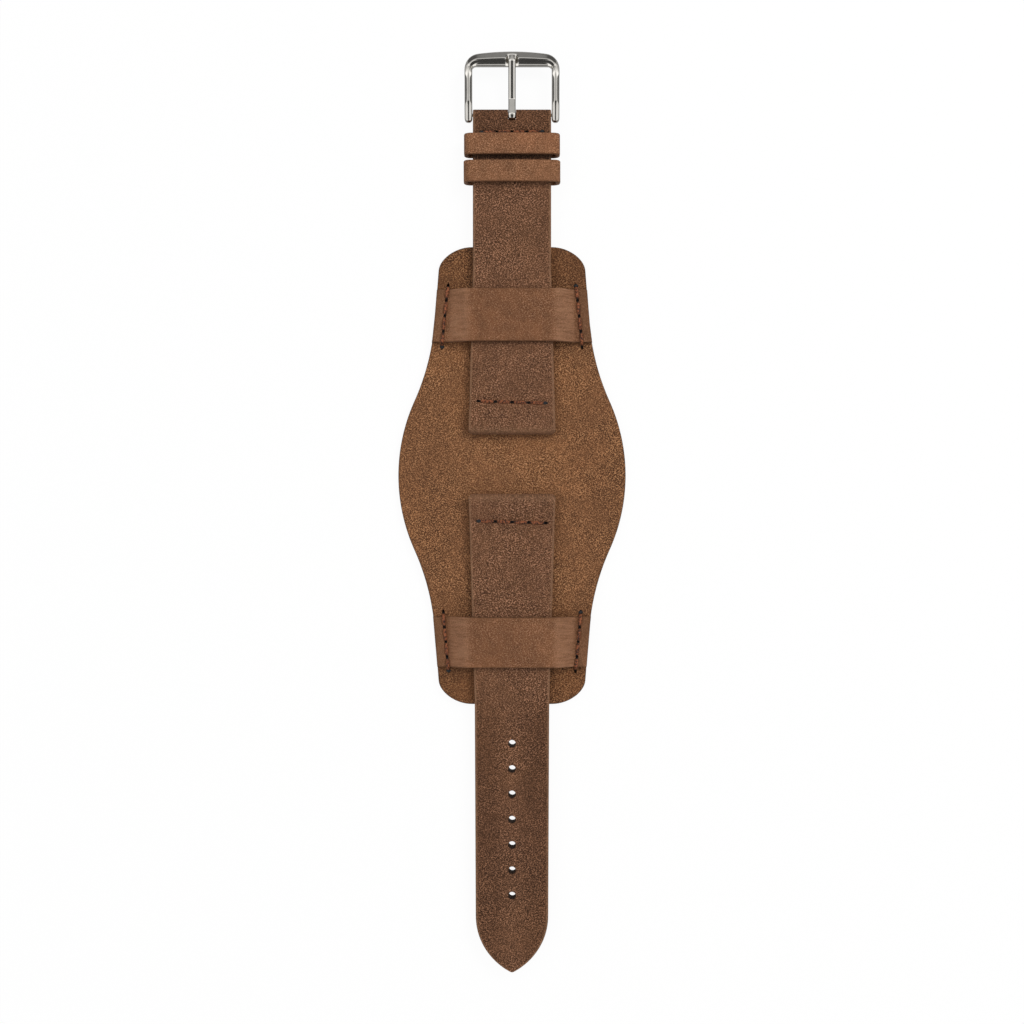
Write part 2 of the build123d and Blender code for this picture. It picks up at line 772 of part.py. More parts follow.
# Tongue: a curl round the bar's tube and an arm whose tip rests in the crossbar's notch
curl_inner = bar_bore / 2
curl_outer = bar_radius + bar_clearance + tongue_curl_wall
seat_place = crest[0] - tongue_notch_depth * frame_inner_slope / frame_inner_drop
seat_rise = notch_floor + tongue_seat + tongue_thickness / 2
arm_angle = atan2(seat_rise, seat_place - tongue_bend_distance)
arm_bend = tongue_thickness * tan(arm_angle / 2)
arm_end_under = (tongue_reach - tongue_bend_distance) * tan(arm_angle) - tongue_thickness / 2

with BuildPart() as buckle_tongue:
    with BuildSketch(bar_plane):
        with BuildLine():
            FilletPolyline(
                (0, -tongue_thickness / 2),
                (tongue_bend_distance, -tongue_thickness / 2),
                (tongue_reach, arm_end_under),
                radius=tongue_bend_radius,
            )
            FilletPolyline(
                (0, tongue_thickness / 2),
                (tongue_bend_distance - arm_bend, tongue_thickness / 2),
                (tongue_reach, arm_end_under + tongue_thickness / cos(arm_angle)),
                radius=tongue_bend_radius - tongue_thickness,
            )
            Line((0, -tongue_thickness / 2), (0, tongue_thickness / 2))
            Line(
                (tongue_reach, arm_end_under),
                (tongue_reach, arm_end_under + tongue_thickness / cos(arm_angle)),
            )
        make_face()
        Circle(curl_outer)
        Circle(curl_inner, mode=Mode.SUBTRACT)
        with Locations(Location((0, 0), curl_slit_angle)):
            Rectangle(curl_outer + overrun, curl_slit, align=(Align.MIN, Align.CENTER), mode=Mode.SUBTRACT)
    extrude(amount=tongue_width / 2, both=True)
    with BuildSketch(Plane(origin=(0, bar_y, bar_z - curl_outer))):
        with BuildLine():
            Polyline(
                (0, -curl_outer),
                (tongue_width / 2, -curl_outer),
                (tongue_width / 2, tongue_reach - tongue_point),
                (tongue_tip_width / 2, tongue_reach),
                (0, tongue_reach),
            )
            mirror(about=Plane.YZ)
        make_face()
    extrude(amount=2 * curl_outer + frame_crest_height + overrun, mode=Mode.INTERSECT)
    long_edges = buckle_tongue.edges().filter_by_position(Axis.Z, bar_z, bar_z + frame_reach)
    for side in (-1, 1):
        side_edges = long_edges.filter_by_position(Axis.X, side * tongue_width / 2, side * tongue_width / 2)
        fillet(side_edges, tongue_edge)
save(buckle_tongue, "buckle_tongue")
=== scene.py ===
# A leather bund watch strap: a waisted wrist pad with two sewn bridges, a buckle strap and a
# holed tail strap that slide under them, two keepers and a polished steel pin buckle.
# Sizes and places are millimetres until a mesh is made. X runs across the strap, Y along it
# towards the buckle and Z up; the origin is the middle of the pad's underside.
import bpy
import bmesh
from math import acos, atan2, ceil, cos, exp, hypot, pi, radians, sin, sqrt, tan
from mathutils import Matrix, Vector, noise
from mathutils.geometry import delaunay_2d_cdt


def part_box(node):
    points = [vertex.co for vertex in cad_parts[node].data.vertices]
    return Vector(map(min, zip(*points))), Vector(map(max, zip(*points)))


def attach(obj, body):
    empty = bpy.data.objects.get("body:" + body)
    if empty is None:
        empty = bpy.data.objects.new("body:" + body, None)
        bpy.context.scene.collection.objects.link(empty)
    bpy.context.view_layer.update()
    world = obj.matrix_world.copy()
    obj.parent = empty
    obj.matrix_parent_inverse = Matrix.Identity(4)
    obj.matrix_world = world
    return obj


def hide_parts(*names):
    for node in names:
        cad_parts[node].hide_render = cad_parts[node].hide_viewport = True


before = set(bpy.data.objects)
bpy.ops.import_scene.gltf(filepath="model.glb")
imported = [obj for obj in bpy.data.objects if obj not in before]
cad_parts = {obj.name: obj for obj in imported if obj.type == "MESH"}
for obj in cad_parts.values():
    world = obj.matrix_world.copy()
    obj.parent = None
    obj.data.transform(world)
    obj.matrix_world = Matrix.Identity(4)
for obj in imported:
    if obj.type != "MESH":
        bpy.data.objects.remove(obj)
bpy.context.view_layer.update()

MM = 0.001


def box_mm(node):
    """A node's lowest and highest corner in millimetres."""
    low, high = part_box(node)
    return Vector(low) / MM, Vector(high) / MM


# Places that come from the frame
pad_low, pad_high = box_mm("pad_leather")
lining_low, lining_high = box_mm("buckle_strap_lining")
buckle_low, buckle_high = box_mm("buckle_strap_leather")
tail_low, tail_high = box_mm("tail_strap_leather")
bar_low, bar_high = box_mm("buckle_bar_tube")
frame_low, frame_high = box_mm("buckle_frame")
bar_y, bar_z = (bar_low.y + bar_high.y) / 2, (bar_low.z + bar_high.z) / 2
strap_bottom = lining_low.z
buckle_length = buckle_high.y - buckle_low.y
tail_length = tail_high.y - tail_low.y

# Pad outline
pad_belly_radius = 46.0
pad_waist_radius = 61.0
pad_flank_angle = 24.2
pad_neck_angle = 4.5
pad_corner_width = 8.5
pad_corner_length = 6.0
pad_corner_pull_share = 0.5

# Straps and their folded ends
lug_width = 22.0
lug_bore = 1.8
lug_fold = 0.9
lug_flap_length = 12.0
lug_taper_angle = 8.0
lug_corner = 0.9
strap_leather = 1.5
strap_lining = lining_high.z - lining_low.z
strap_thickness = strap_leather + strap_lining
buckle_strap_width = 19.76
buckle_strap_taper = 41.7
bar_bore = 1.5
bar_fold = 0.65
bar_flap_length = 9.0
bar_taper_angle = 6.0
tail_waist_width = 18.8
tail_waist_distance = 53.3
tail_end_width = 18.3
tail_tip_length = 14.3
tail_tip_round = 1.0
tail_hole = 1.85
tail_hole_depth = 4.0
tail_hole_lean = (0.05, 0.18)
tail_hole_lip_depth = 0.3
tail_hole_lip_flare = 1.5
tail_hole_spacing = 6.39
tail_hole_count = 7
tail_last_hole = 19.3
tongue_slot_depth = 3.0
tongue_slot_clearance = 0.04
tongue_slot_corner = 0.5
tongue_slot_bar_corner = 0.1
# Behind a bore the two layers meet at this many bores from its middle.
seam_start_share = 3.2
seam_gap = 0.03
seam_softness = 0.3

# Bridges
bridge_leather = 1.4
bridge_headroom = 0.3
bridge_roof_width = 22.6
bridge_foot_width = 31.6
bridge_bend = 0.9
bridge_edge = 0.3
bridge_under_edge = 0.2
bridge_end_round = 0.55

# Thread, needle holes and stitch rows
thread = 0.8
thread_lay = 1.5
knot_width = 1.15
knot_sink = 0.05
needle_hole = 0.72
needle_stretch = 1.95
needle_depth = 1.0
stitch_count = 4
bridge_row_inset = 2.75
bridge_row_outside = 1.05
lug_stitch = 4.2
upper_lug_row = 8.15
lower_lug_row = 7.1
lug_row_tilt = 0.24
buckle_stitch = 3.8
buckle_row = 5.85
buckle_row_tilt = 0.1
groove_depth = 0.22
groove_width = 0.62
groove_seat = 0.06
# How far each kind of stitch rises over its leather, and sinks into its holes
top_stitch = (0.22, 0.75)
under_stitch = (-0.12, 0.4)
bridge_stitch = (0.12, 0.8)

# How far a cutter reaches past the surface that it starts from
cut_overrun = 2.0
awl_overrun = 1.0

# Rounding of cut leather edges
cut_edge = 0.34
lining_edge = 0.22

# Depths under its surface between which a hole's painted shade fades in
hole_dark_depths = (0.12, 0.3)

# Height of each hide's slow unevenness
pad_ripple = 0.1
strap_ripple = 0.12
bridge_ripple = 0.08
keeper_ripple = 0.1

# Distances between the points of the leather meshes, and from a stitch row to those of its groove
strap_step = 1.6
fold_step = 1.2
strip_step = 0.9
sheet_grid = 1.5
strap_columns = 12
edge_columns = (0.35, 0.9, 1.7)
groove_gaps = (-1.3, -0.9, -0.6, -0.3, 0, 0.3, 0.6, 0.9, 1.3)

strap_top = strap_bottom + strap_thickness
lug_nose_radius = lug_bore / 2 + lug_fold
bar_nose_radius = bar_bore / 2 + bar_fold


def ease(value, start, end):
    """0 before start, 1 after end, and a smooth step between."""
    share = min(max((value - start) / (end - start), 0), 1)
    return share * share * (3 - 2 * share)


def ripple(x, y, seed):
    """A slow unevenness from 0 to 1, as hide has that was cut from a soft skin."""
    return 0.5 + 0.5 * noise.noise(Vector((x / 9, y / 9, seed)))


# Mesh helpers
def add_object(name, data):
    """A new object in the scene that carries a mesh, a lamp or a camera."""
    made = bpy.data.objects.new(name, data)
    bpy.context.scene.collection.objects.link(made)
    return made


def make_piece(name, points, faces, crease=38):
    """A closed mesh object from points in millimetres, smooth but for edges sharper than crease."""
    mesh = bpy.data.meshes.new(name)
    mesh.from_pydata([Vector(point) * MM for point in points], [], faces)
    piece = add_object(name, mesh)
    tidy_mesh(piece, crease)
    return piece


def tidy_mesh(piece, crease=38):
    """Merge doubles, drop empty faces, turn faces outwards and set the shading."""
    shape = bmesh.new()
    shape.from_mesh(piece.data)
    bmesh.ops.remove_doubles(shape, verts=shape.verts, dist=0.002 * MM)
    bmesh.ops.dissolve_degenerate(shape, edges=shape.edges, dist=0.001 * MM)
    bmesh.ops.recalc_face_normals(shape, faces=shape.faces)
    shape.to_mesh(piece.data)
    shape.free()
    piece.data.shade_smooth()
    piece.data.set_sharp_from_angle(angle=radians(crease))


def keep_result(piece, modifier):
    """Keep what a modifier makes of a piece as its plain mesh, and remove the modifier."""
    graph = bpy.context.evaluated_depsgraph_get()
    result = bpy.data.meshes.new_from_object(piece.evaluated_get(graph))
    piece.modifiers.remove(modifier)
    piece.data = result


def paint(piece, name, rule):
    """Store a number per point that the material reads; rule takes a place in millimetres."""
    attribute = piece.data.attributes.new(name, "FLOAT", "POINT")
    attribute.data.foreach_set("value", [rule(vertex.co / MM) for vertex in piece.data.vertices])


def dress(piece, material, body, node):
    """Give a finished piece its material and its body, and hide the node that it stands for."""
    piece.data.materials.clear()
    piece.data.materials.append(material)
    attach(piece, body)
    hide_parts(node)


def ring_faces(stations, count, closed=False):
    """Faces between rings of count points each, the last ring joined to the first if closed."""
    faces = []
    for station in range(stations if closed else stations - 1):
        base, following = station * count, (station + 1) % stations * count
        for index in range(count):
            beside = (index + 1) % count
            faces.append((base + index, base + beside, following + beside, following + index))
    return faces


def end_faces(stations, count):
    """One face over the first ring of count points and one over the last."""
    return [tuple(range(count)), tuple(range((stations - 1) * count, stations * count))]


def fill_loop(loop, extra=()):
    """Triangles over a closed 2-D loop, as indexes into loop and then extra."""
    points = [Vector(point) for point in (*loop, *extra)]
    count = len(loop)
    edges = [(index, (index + 1) % count) for index in range(count)]
    found = delaunay_2d_cdt(points, edges, [], 1, 1e-5)
    return [[found[3][corner][0] for corner in face] for face in found[2]]


def spread(start, end, step):
    """Places from start towards end, about one step apart, without the end."""
    count = max(1, ceil(abs(end - start) / step))
    return [start + (end - start) * index / count for index in range(count)]


def arc(centre, radius, start, end, step=14):
    """Points on an arc given in degrees, without its last one."""
    angles = [radians(angle) for angle in spread(start, end, step)]
    return [(centre[0] + radius * cos(angle), centre[1] + radius * sin(angle)) for angle in angles]


def rounded_path(corners, radii, step, closed=False):
    """A path through corners, each cut by an arc of its radius, with runs of about one step."""
    count = len(corners)
    points = []
    for index, corner in enumerate(corners):
        here = Vector(corner)
        if not closed and index in (0, count - 1):
            points.append([here])
            continue
        back = (Vector(corners[index - 1]) - here).normalized()
        ahead = (Vector(corners[(index + 1) % count]) - here).normalized()
        half = acos(max(-1, min(1, back.dot(ahead)))) / 2
        radius = radii[index]
        reach = radius / tan(half)
        centre = here + (back + ahead).normalized() * radius / sin(half)
        first, last = here + back * reach, here + ahead * reach
        start = atan2(first.y - centre.y, first.x - centre.x)
        turn = atan2(last.y - centre.y, last.x - centre.x) - start
        turn = (turn + pi) % (2 * pi) - pi
        steps = max(1, ceil(abs(turn) / radians(12)))
        angles = [start + turn * index / steps for index in range(steps + 1)]
        points.append([centre + Vector((cos(angle), sin(angle))) * radius for angle in angles])
    path = []
    for index, group in enumerate(points):
        path.extend(group)
        following = points[(index + 1) % count]
        if closed or index < count - 1:
            gap = following[0] - group[-1]
            inner = spread(0, gap.length, step)[1:]
            path.extend(group[-1] + gap.normalized() * place for place in inner)
    return path


def loop_normals(loop, closed=True):
    """Unit normals of a 2-D path, to the left of its direction."""
    count = len(loop)
    normals = []
    for index in range(count):
        back = loop[index - 1] if closed or index else loop[0]
        ahead = loop[(index + 1) % count] if closed or index < count - 1 else loop[-1]
        here = Vector(loop[index])
        first, last = here - Vector(back), Vector(ahead) - here
        along = first.normalized() + last.normalized()
        along = along.normalized() if along.length > 0 else last.normalized()
        normals.append(Vector((-along.y, along.x)))
    return normals


def edge_rounding(radius, steps=4):
    """A rounded edge as insets from the side and depths under the surface, from the surface down."""
    angles = [pi / 2 * step / steps for step in range(steps + 1)]
    return [(radius * (1 - sin(angle)), radius * (1 - cos(angle))) for angle in angles]


# Pad: its outline is a belly arc, a waist arc, a straight neck and a soft corner, four times over.
flank, neck = radians(pad_flank_angle), radians(pad_neck_angle)
belly_centre_x = pad_high.x - pad_belly_radius
waist_centre = (
    belly_centre_x + (pad_belly_radius + pad_waist_radius) * cos(flank),
    (pad_belly_radius + pad_waist_radius) * sin(flank),
)
belly_end_y = pad_belly_radius * sin(flank)
waist_end = (
    waist_centre[0] - pad_waist_radius * cos(neck),
    waist_centre[1] - pad_waist_radius * sin(neck),
)
neck_end = (
    waist_end[0] - (pad_high.y - pad_corner_length - waist_end[1]) * tan(neck),
    pad_high.y - pad_corner_length,
)


def pad_half_width(y):
    """Half the pad's width at a distance y from its middle, outside the corners."""
    if y <= belly_end_y:
        return belly_centre_x + sqrt(pad_belly_radius**2 - y**2)
    if y <= waist_end[1]:
        return waist_centre[0] - sqrt(pad_waist_radius**2 - (waist_centre[1] - y) ** 2)
    return waist_end[0] - (y - waist_end[1]) * tan(neck)


def pad_outline(step=0.9):
    """The closed outline, anticlockwise from the middle of its right side."""
    quarter = arc((belly_centre_x, 0), pad_belly_radius, 0, pad_flank_angle, 1.1)
    quarter += arc(waist_centre, pad_waist_radius, 180 + pad_flank_angle, 180 + pad_neck_angle, 0.9)
    run = neck_end[1] - waist_end[1]
    quarter += [
        (waist_end[0] - place * tan(neck), waist_end[1] + place) for place in spread(0, run, step)
    ]
    pull_y = pad_corner_pull_share * pad_corner_length
    corner = [
        Vector(neck_end),
        Vector((neck_end[0] - pull_y * tan(neck), neck_end[1] + pull_y)),
        Vector((neck_end[0] - (1 - pad_corner_pull_share) * pad_corner_width, pad_high.y)),
        Vector((neck_end[0] - pad_corner_width, pad_high.y)),
    ]
    for share in spread(0, 1, 0.07):
        rest = 1 - share
        point = corner[0] * rest**3 + corner[1] * 3 * rest**2 * share
        point += corner[2] * 3 * rest * share**2 + corner[3] * share**3
        quarter.append(tuple(point))
    quarter += [(x, pad_high.y) for x in spread(corner[3].x, 0, step)]
    upper = quarter + [(0, pad_high.y)] + [(-x, y) for x, y in reversed(quarter)]
    return upper + [(x, -y) for x, y in reversed(upper[1:-1])]


def inset_loop(loop, amount):
    """An anticlockwise loop moved inwards by an amount."""
    normals = loop_normals(loop)
    return [(x + side.x * amount, y + side.y * amount) for (x, y), side in zip(loop, normals)]


def make_sheet(name, edge, surface):
    """A flat leather piece in the pad's outline; edge lists inset and height, from under to over."""
    outline = pad_outline()
    count = len(outline)
    points = []
    for inset, height in edge:
        points += [(x, y, surface(x, y, height)) for x, y in inset_loop(outline, inset)]
    faces = ring_faces(len(edge), count)
    margin = edge[-1][0] + sheet_grid
    rows, columns = ceil(pad_high.y / sheet_grid), ceil(pad_high.x / sheet_grid)
    inner = []
    for row in range(-rows, rows + 1):
        for column in range(-columns, columns + 1):
            x, y = (column + row % 2 / 2) * sheet_grid, row * sheet_grid
            reach = pad_half_width(min(abs(y), neck_end[1])) - margin
            corner = max(0, abs(y) - neck_end[1] + 2 * sheet_grid)
            if abs(x) < reach - corner and abs(y) < pad_high.y - margin:
                inner.append((x, y))
    for ring, added in ((0, []), (len(edge) - 1, inner)):
        loop = [point[:2] for point in points[ring * count : (ring + 1) * count]]
        start = len(points)
        points += [(x, y, surface(x, y, edge[ring][1])) for x, y in added]
        for face in fill_loop(loop, added):
            faces.append([ring * count + i if i < count else start + i - count for i in face])
    return make_piece(name, points, faces)


bridges = {
    "upper": (box_mm("upper_bridge"), 1),
    "lower": (box_mm("lower_bridge"), -1),
}


def bridge_holes(name, side):
    """The needle holes of a bridge's row, from the one nearest to the pad's middle outwards."""
    (low, high), way = bridges[name]
    near = min(abs(low.y), abs(high.y)) - bridge_row_outside
    far = max(abs(low.y), abs(high.y)) + bridge_row_outside
    near_x, far_x = pad_half_width(near) - bridge_row_inset, pad_half_width(far) - bridge_row_inset
    shares = [step / stitch_count for step in range(stitch_count + 1)]
    return [
        Vector((side * (near_x + (far_x - near_x) * share), way * (near + (far - near) * share)))
        for share in shares
    ]


# Straps: a side profile that is crossed over the strap's width, with rounded cut edges
def nose_tangents(centre, radius, meet):
    """Angles, in degrees, at which lines from the point meet touch a bore."""
    gap = Vector(meet) - Vector(centre)
    middle = atan2(gap.y, gap.x)
    half = acos(radius / gap.length)
    return (middle + half) * 180 / pi, (middle - half) * 180 / pi


def nose_slope(radius, angle):
    """Where the slope behind a folded nose starts, as a distance and a height, and where it ends."""
    start = (radius + radius * sin(angle), radius + radius * cos(angle))
    return start, start[0] + max(start[1] - strap_thickness, 0) / tan(angle)


def folded_end(radius, bore, taper_angle, flap_length, row):
    """One folded end, its nose at 0: over the top, round the nose, back along the flap and in.

    Each point is a distance, a height and how much its cut edges are rounded."""
    angle = radians(taper_angle)
    slope_start, slope_end = nose_slope(radius, angle)
    centre = (radius, radius)
    places = {row + gap for gap in groove_gaps} | {slope_end}
    places |= set(spread(flap_length, slope_start[0], fold_step))
    outer = [
        (place, strap_thickness + max(slope_end - place, 0) * tan(angle))
        for place in sorted(places, reverse=True)
        if place > slope_start[0]
    ]
    outer += arc(centre, radius, 90 - taper_angle, 270, 10)
    outer += [(place, 0) for place in spread(radius, flap_length, fold_step) + [flap_length]]
    under_seam = strap_lining - seam_gap
    meet = (radius + seam_start_share * bore, strap_lining)
    upper, lower = nose_tangents(centre, bore / 2, meet)
    inner = [(flap_length, strap_lining / 2)]
    inner += [(place, under_seam) for place in spread(flap_length, meet[0], fold_step) + [meet[0]]]
    inner += arc(centre, bore / 2, lower + 360, upper, 20)
    inner.append((centre[0] + bore / 2 * cos(radians(upper)), centre[1] + bore / 2 * sin(radians(upper))))
    inner += [(place, strap_lining) for place in spread(meet[0], flap_length, fold_step)]
    return [(*point, 1) for point in outer] + [(*point, seam_softness) for point in inner]


def cross_profile(name, profile, plan, edge, relief):
    """Cross a side profile over a strap's width, and round its cut edges.

    A plan is the strap's start along Y, the way that it runs and its half width at a distance."""
    start, way, half_width = plan
    least_gap = 0.004
    profile = [
        point
        for point, after in zip(profile, profile[1:] + profile[:1])
        if hypot(point[0] - after[0], point[1] - after[1]) > least_gap
    ]
    normals = loop_normals([point[:2] for point in profile])
    area = sum(a[0] * b[1] - b[0] * a[1] for a, b in zip(profile, profile[1:] + profile[:1]))
    inward = 1 if area > 0 else -1
    sides = list(reversed(edge_rounding(edge))) + [(edge + inset, 0) for inset in edge_columns]
    columns = [(-1, inset, depth) for inset, depth in sides]
    columns += [(-1 + 2 * step / strap_columns, None, 0) for step in range(strap_columns + 1)]
    columns += [(1, inset, depth) for inset, depth in reversed(sides)]
    widest_inset = sides[-1][0] + 0.5
    points = []
    for side, inset, depth in columns:
        for (distance, height, softness), normal in zip(profile, normals):
            half = half_width(distance)
            squeeze = min(1, half / (widest_inset * 1.6))
            if inset is None:
                x = side * (half - widest_inset * squeeze)
            else:
                x = side * (half - inset * squeeze)
            place = Vector((distance, height)) + normal * inward * depth * squeeze * softness
            y = start + way * place.x
            z = strap_bottom + place.y
            points.append((x, y, z + relief(x, y, z)))
    count = len(profile)
    faces = ring_faces(len(columns), count)
    for base in (0, (len(columns) - 1) * count):
        loop = [(point[1], point[2]) for point in points[base : base + count]]
        faces += [[base + index for index in face] for face in fill_loop(loop)]
    return make_piece(name, points, faces)


def corner_round(distance, radius):
    """How far a rounded corner draws a side in at a distance from the end."""
    short = max(radius - distance, 0)
    return radius - sqrt(max(radius**2 - short**2, 0))


def buckle_half_width(distance):
    """Half the buckle strap's width at a distance from its lug end."""
    share = min(distance / buckle_strap_taper, 1)
    half = lug_width / 2 + (buckle_strap_width - lug_width) / 2 * share
    return half - corner_round(distance, lug_corner)


# The tip's sides are arcs that leave the shoulders in line with the strap's sides and meet in a
# small round end.
tail_arc_radius = (tail_tip_length**2 + (tail_end_width / 2) ** 2) / tail_end_width
tail_arc_sink = tail_arc_radius - tail_end_width / 2
tail_round_centre = sqrt((tail_arc_radius - tail_tip_round) ** 2 - tail_arc_sink**2)
tail_round_start = tail_round_centre * tail_arc_radius / (tail_arc_radius - tail_tip_round)
tail_shoulder = tail_length - tail_round_centre - tail_tip_round
# Places closer and closer to the tip, where the width shrinks fast
tail_tip = [tail_length - left for left in (1.2, 0.85, 0.55, 0.35, 0.2, 0.1, 0.04, 0.01)]


def tail_half_width(distance):
    """Half the tail strap's width at a distance from its lug end."""
    if distance <= tail_waist_distance:
        share = distance / tail_waist_distance
        half = lug_width / 2 + (tail_waist_width - lug_width) / 2 * share
        return half - corner_round(distance, lug_corner)
    share = min((distance - tail_waist_distance) / (tail_shoulder - tail_waist_distance), 1)
    half = tail_waist_width / 2 + (tail_end_width - tail_waist_width) / 2 * share
    past = max(distance - tail_shoulder, 0)
    if past > tail_round_start:
        return sqrt(max(tail_tip_round**2 - (past - tail_round_centre) ** 2, 0.0004))
    return half - tail_arc_radius + sqrt(tail_arc_radius**2 - past**2)


buckle_plan = (buckle_low.y, 1, buckle_half_width)
tail_plan = (tail_high.y, -1, tail_half_width)


def buckle_profile():
    """The buckle strap's leather from the side: folded round both bars."""
    lug = folded_end(lug_nose_radius, lug_bore, lug_taper_angle, lug_flap_length, upper_lug_row)
    end = folded_end(bar_nose_radius, bar_bore, bar_taper_angle, bar_flap_length, buckle_row)
    between = spread(lug_flap_length, buckle_length - bar_flap_length, strap_step)
    over = [(place, strap_thickness, 1) for place in reversed(between)]
    inside = [(place, strap_lining, seam_softness) for place in between]
    flipped = [(buckle_length - place, height, softness) for place, height, softness in reversed(end)]
    return over + lug + inside + flipped


def tail_profile():
    """The tail strap's leather from the side: folded at the lug end only."""
    lug = folded_end(lug_nose_radius, lug_bore, lug_taper_angle, lug_flap_length, lower_lug_row)
    between = spread(lug_flap_length, tail_shoulder, strap_step)
    between += spread(tail_shoulder, tail_tip[0], strap_step / 2) + tail_tip
    over = [(place, strap_thickness, 1) for place in reversed(between)]
    return over + lug + [(place, strap_lining, seam_softness) for place in between]


def lining_profile(places):
    """A lining from the side: a plain strip under the top leather."""
    top = strap_lining - seam_gap
    over = [(place, top, seam_softness) for place in reversed(places)]
    return over + [(place, 0, 1) for place in places]


def lug_groove(x, y, row_y, half_length, tilt):
    """Depth of the line that a tight row of stitches presses into the leather."""
    off = (y - row_y - tilt * x / half_length) / groove_width
    reach = 1 - ease(abs(x), half_length + 0.1, half_length + 0.9)
    return groove_depth * exp(-off * off) * reach


strap_rows = {
    "upper lug": (buckle_low.y + upper_lug_row, lug_stitch * stitch_count / 2, -lug_row_tilt),
    "lower lug": (tail_high.y - lower_lug_row, lug_stitch * stitch_count / 2, -lug_row_tilt),
    "buckle": (buckle_high.y - buckle_row, buckle_stitch * stitch_count / 2, buckle_row_tilt),
}


def strap_relief(x, y, z):
    """How far a strap's top lies under its even height: a slow ripple and the stitch grooves."""
    top = ease(z, strap_bottom + 0.6 * strap_thickness, strap_bottom + 0.95 * strap_thickness)
    if top == 0:
        return 0
    sink = strap_ripple * ripple(x, y, 3) + sum(lug_groove(x, y, *row) for row in strap_rows.values())
    return -top * sink


def no_relief(x, y, z):
    """A surface left as it is."""
    return 0


def slope_height(distance, radius, taper_angle):
    """Height of a strap's top over its underside, at a distance behind a folded nose."""
    angle = radians(taper_angle)
    slope_end = nose_slope(radius, angle)[1]
    return strap_thickness + max(slope_end - distance, 0) * tan(angle)


def strip_ring(width, thickness, outer, inner, columns):
    """The section of a strip: distance along the strap and height over its middle line."""
    half = width / 2

    def half_ring(radius, way):
        rounding = edge_rounding(radius, 3)
        left = [(-half + inset, thickness / 2 - depth) for inset, depth in reversed(rounding)]
        flat = half - radius - 0.45
        middle = [(-flat + 2 * flat * step / columns, thickness / 2) for step in range(columns + 1)]
        right = [(half - inset, thickness / 2 - depth) for inset, depth in rounding]
        return [(along, way * out) for along, out in left + middle + right]

    return half_ring(outer, 1) + list(reversed(half_ring(inner, -1)))


def sweep_strip(name, path, ring, centre_y, closed, shape):
    """Carry a strip's section along a path of across and height; shape finishes each point."""
    points = []
    for here, normal in zip(path, loop_normals(path, closed)):
        for along, out in ring:
            place = Vector(here) + normal * out
            points.append(shape(place.x, centre_y + along, place.y, out))
    faces = ring_faces(len(path), len(ring), closed)
    if not closed:
        faces += end_faces(len(path), len(ring))
    return make_piece(name, points, faces)


bridge_rise = strap_top + bridge_headroom - pad_high.z
bridge_shift = bridge_leather * tan(atan2(bridge_rise, (bridge_foot_width - bridge_roof_width) / 2) / 2)


def make_bridge(name):
    """One bridge: flat feet that end flush with the pad's sides, slopes and a roof over the strap."""
    (low, high), _ = bridges[name]
    centre, width = (low.y + high.y) / 2, high.y - low.y
    holes = bridge_holes(name, 1)
    end_x = pad_half_width(abs(centre))
    row_x = (holes[0].x + holes[-1].x) / 2
    foot = bridge_foot_width / 2 + bridge_shift / 2
    roof = bridge_roof_width / 2 + bridge_shift / 2
    foot_z, roof_z = pad_high.z + bridge_leather / 2, pad_high.z + bridge_rise + bridge_leather / 2
    bend = bridge_bend + bridge_leather / 2
    pull_from = bridge_roof_width / 2 + 0.5
    corners = [(-end_x, foot_z), (-foot, foot_z), (-roof, roof_z), (roof, roof_z), (foot, foot_z)]
    inner = rounded_path(corners + [(end_x, foot_z)], [0, bend, bend, bend, bend, 0], strip_step)
    flat_from = foot + 0.6
    feet = [row_x + gap for gap in groove_gaps]
    feet += [end_x - gap for gap in (0.7, 0.45, 0.25, 0.1, 0)]
    feet = sorted(place for place in feet if place > flat_from)
    path = [Vector((-place, foot_z)) for place in reversed(feet)]
    path += [point for point in inner if abs(point.x) < flat_from]
    path += [Vector((place, foot_z)) for place in feet]

    def shape(x, y, z, out):
        """Fit a foot between the row and the pad's side, round its end and press the groove."""
        side = 1 if x > 0 else -1
        across = abs(x)
        share = (abs(y) - abs(holes[0].y)) / (abs(holes[-1].y) - abs(holes[0].y))
        row_here = holes[0].x + (holes[-1].x - holes[0].x) * share
        end_here = pad_half_width(abs(y))
        if across > row_x:
            across = row_here + (across - row_x) * (end_here - row_here) / (end_x - row_x)
        elif across > pull_from:
            across = pull_from + (across - pull_from) * (row_here - pull_from) / (row_x - pull_from)
        if out > 0:
            gap = end_here - across
            z -= corner_round(gap, bridge_end_round) if abs(x) > flat_from else 0
            off = (across - row_here) / groove_width
            z -= groove_depth * exp(-off * off)
            z -= bridge_ripple * ripple(x, y, 7)
        return (side * across, y, z)

    ring = strip_ring(width, bridge_leather, bridge_edge, bridge_under_edge, 9)
    return sweep_strip(f"{name}_bridge_strip", path, ring, centre, False, shape)


keeper_leather = 1.2
keeper_corner = 1.9
keeper_crown = 0.4
keeper_edge = 0.32
keeper_under_edge = 0.22


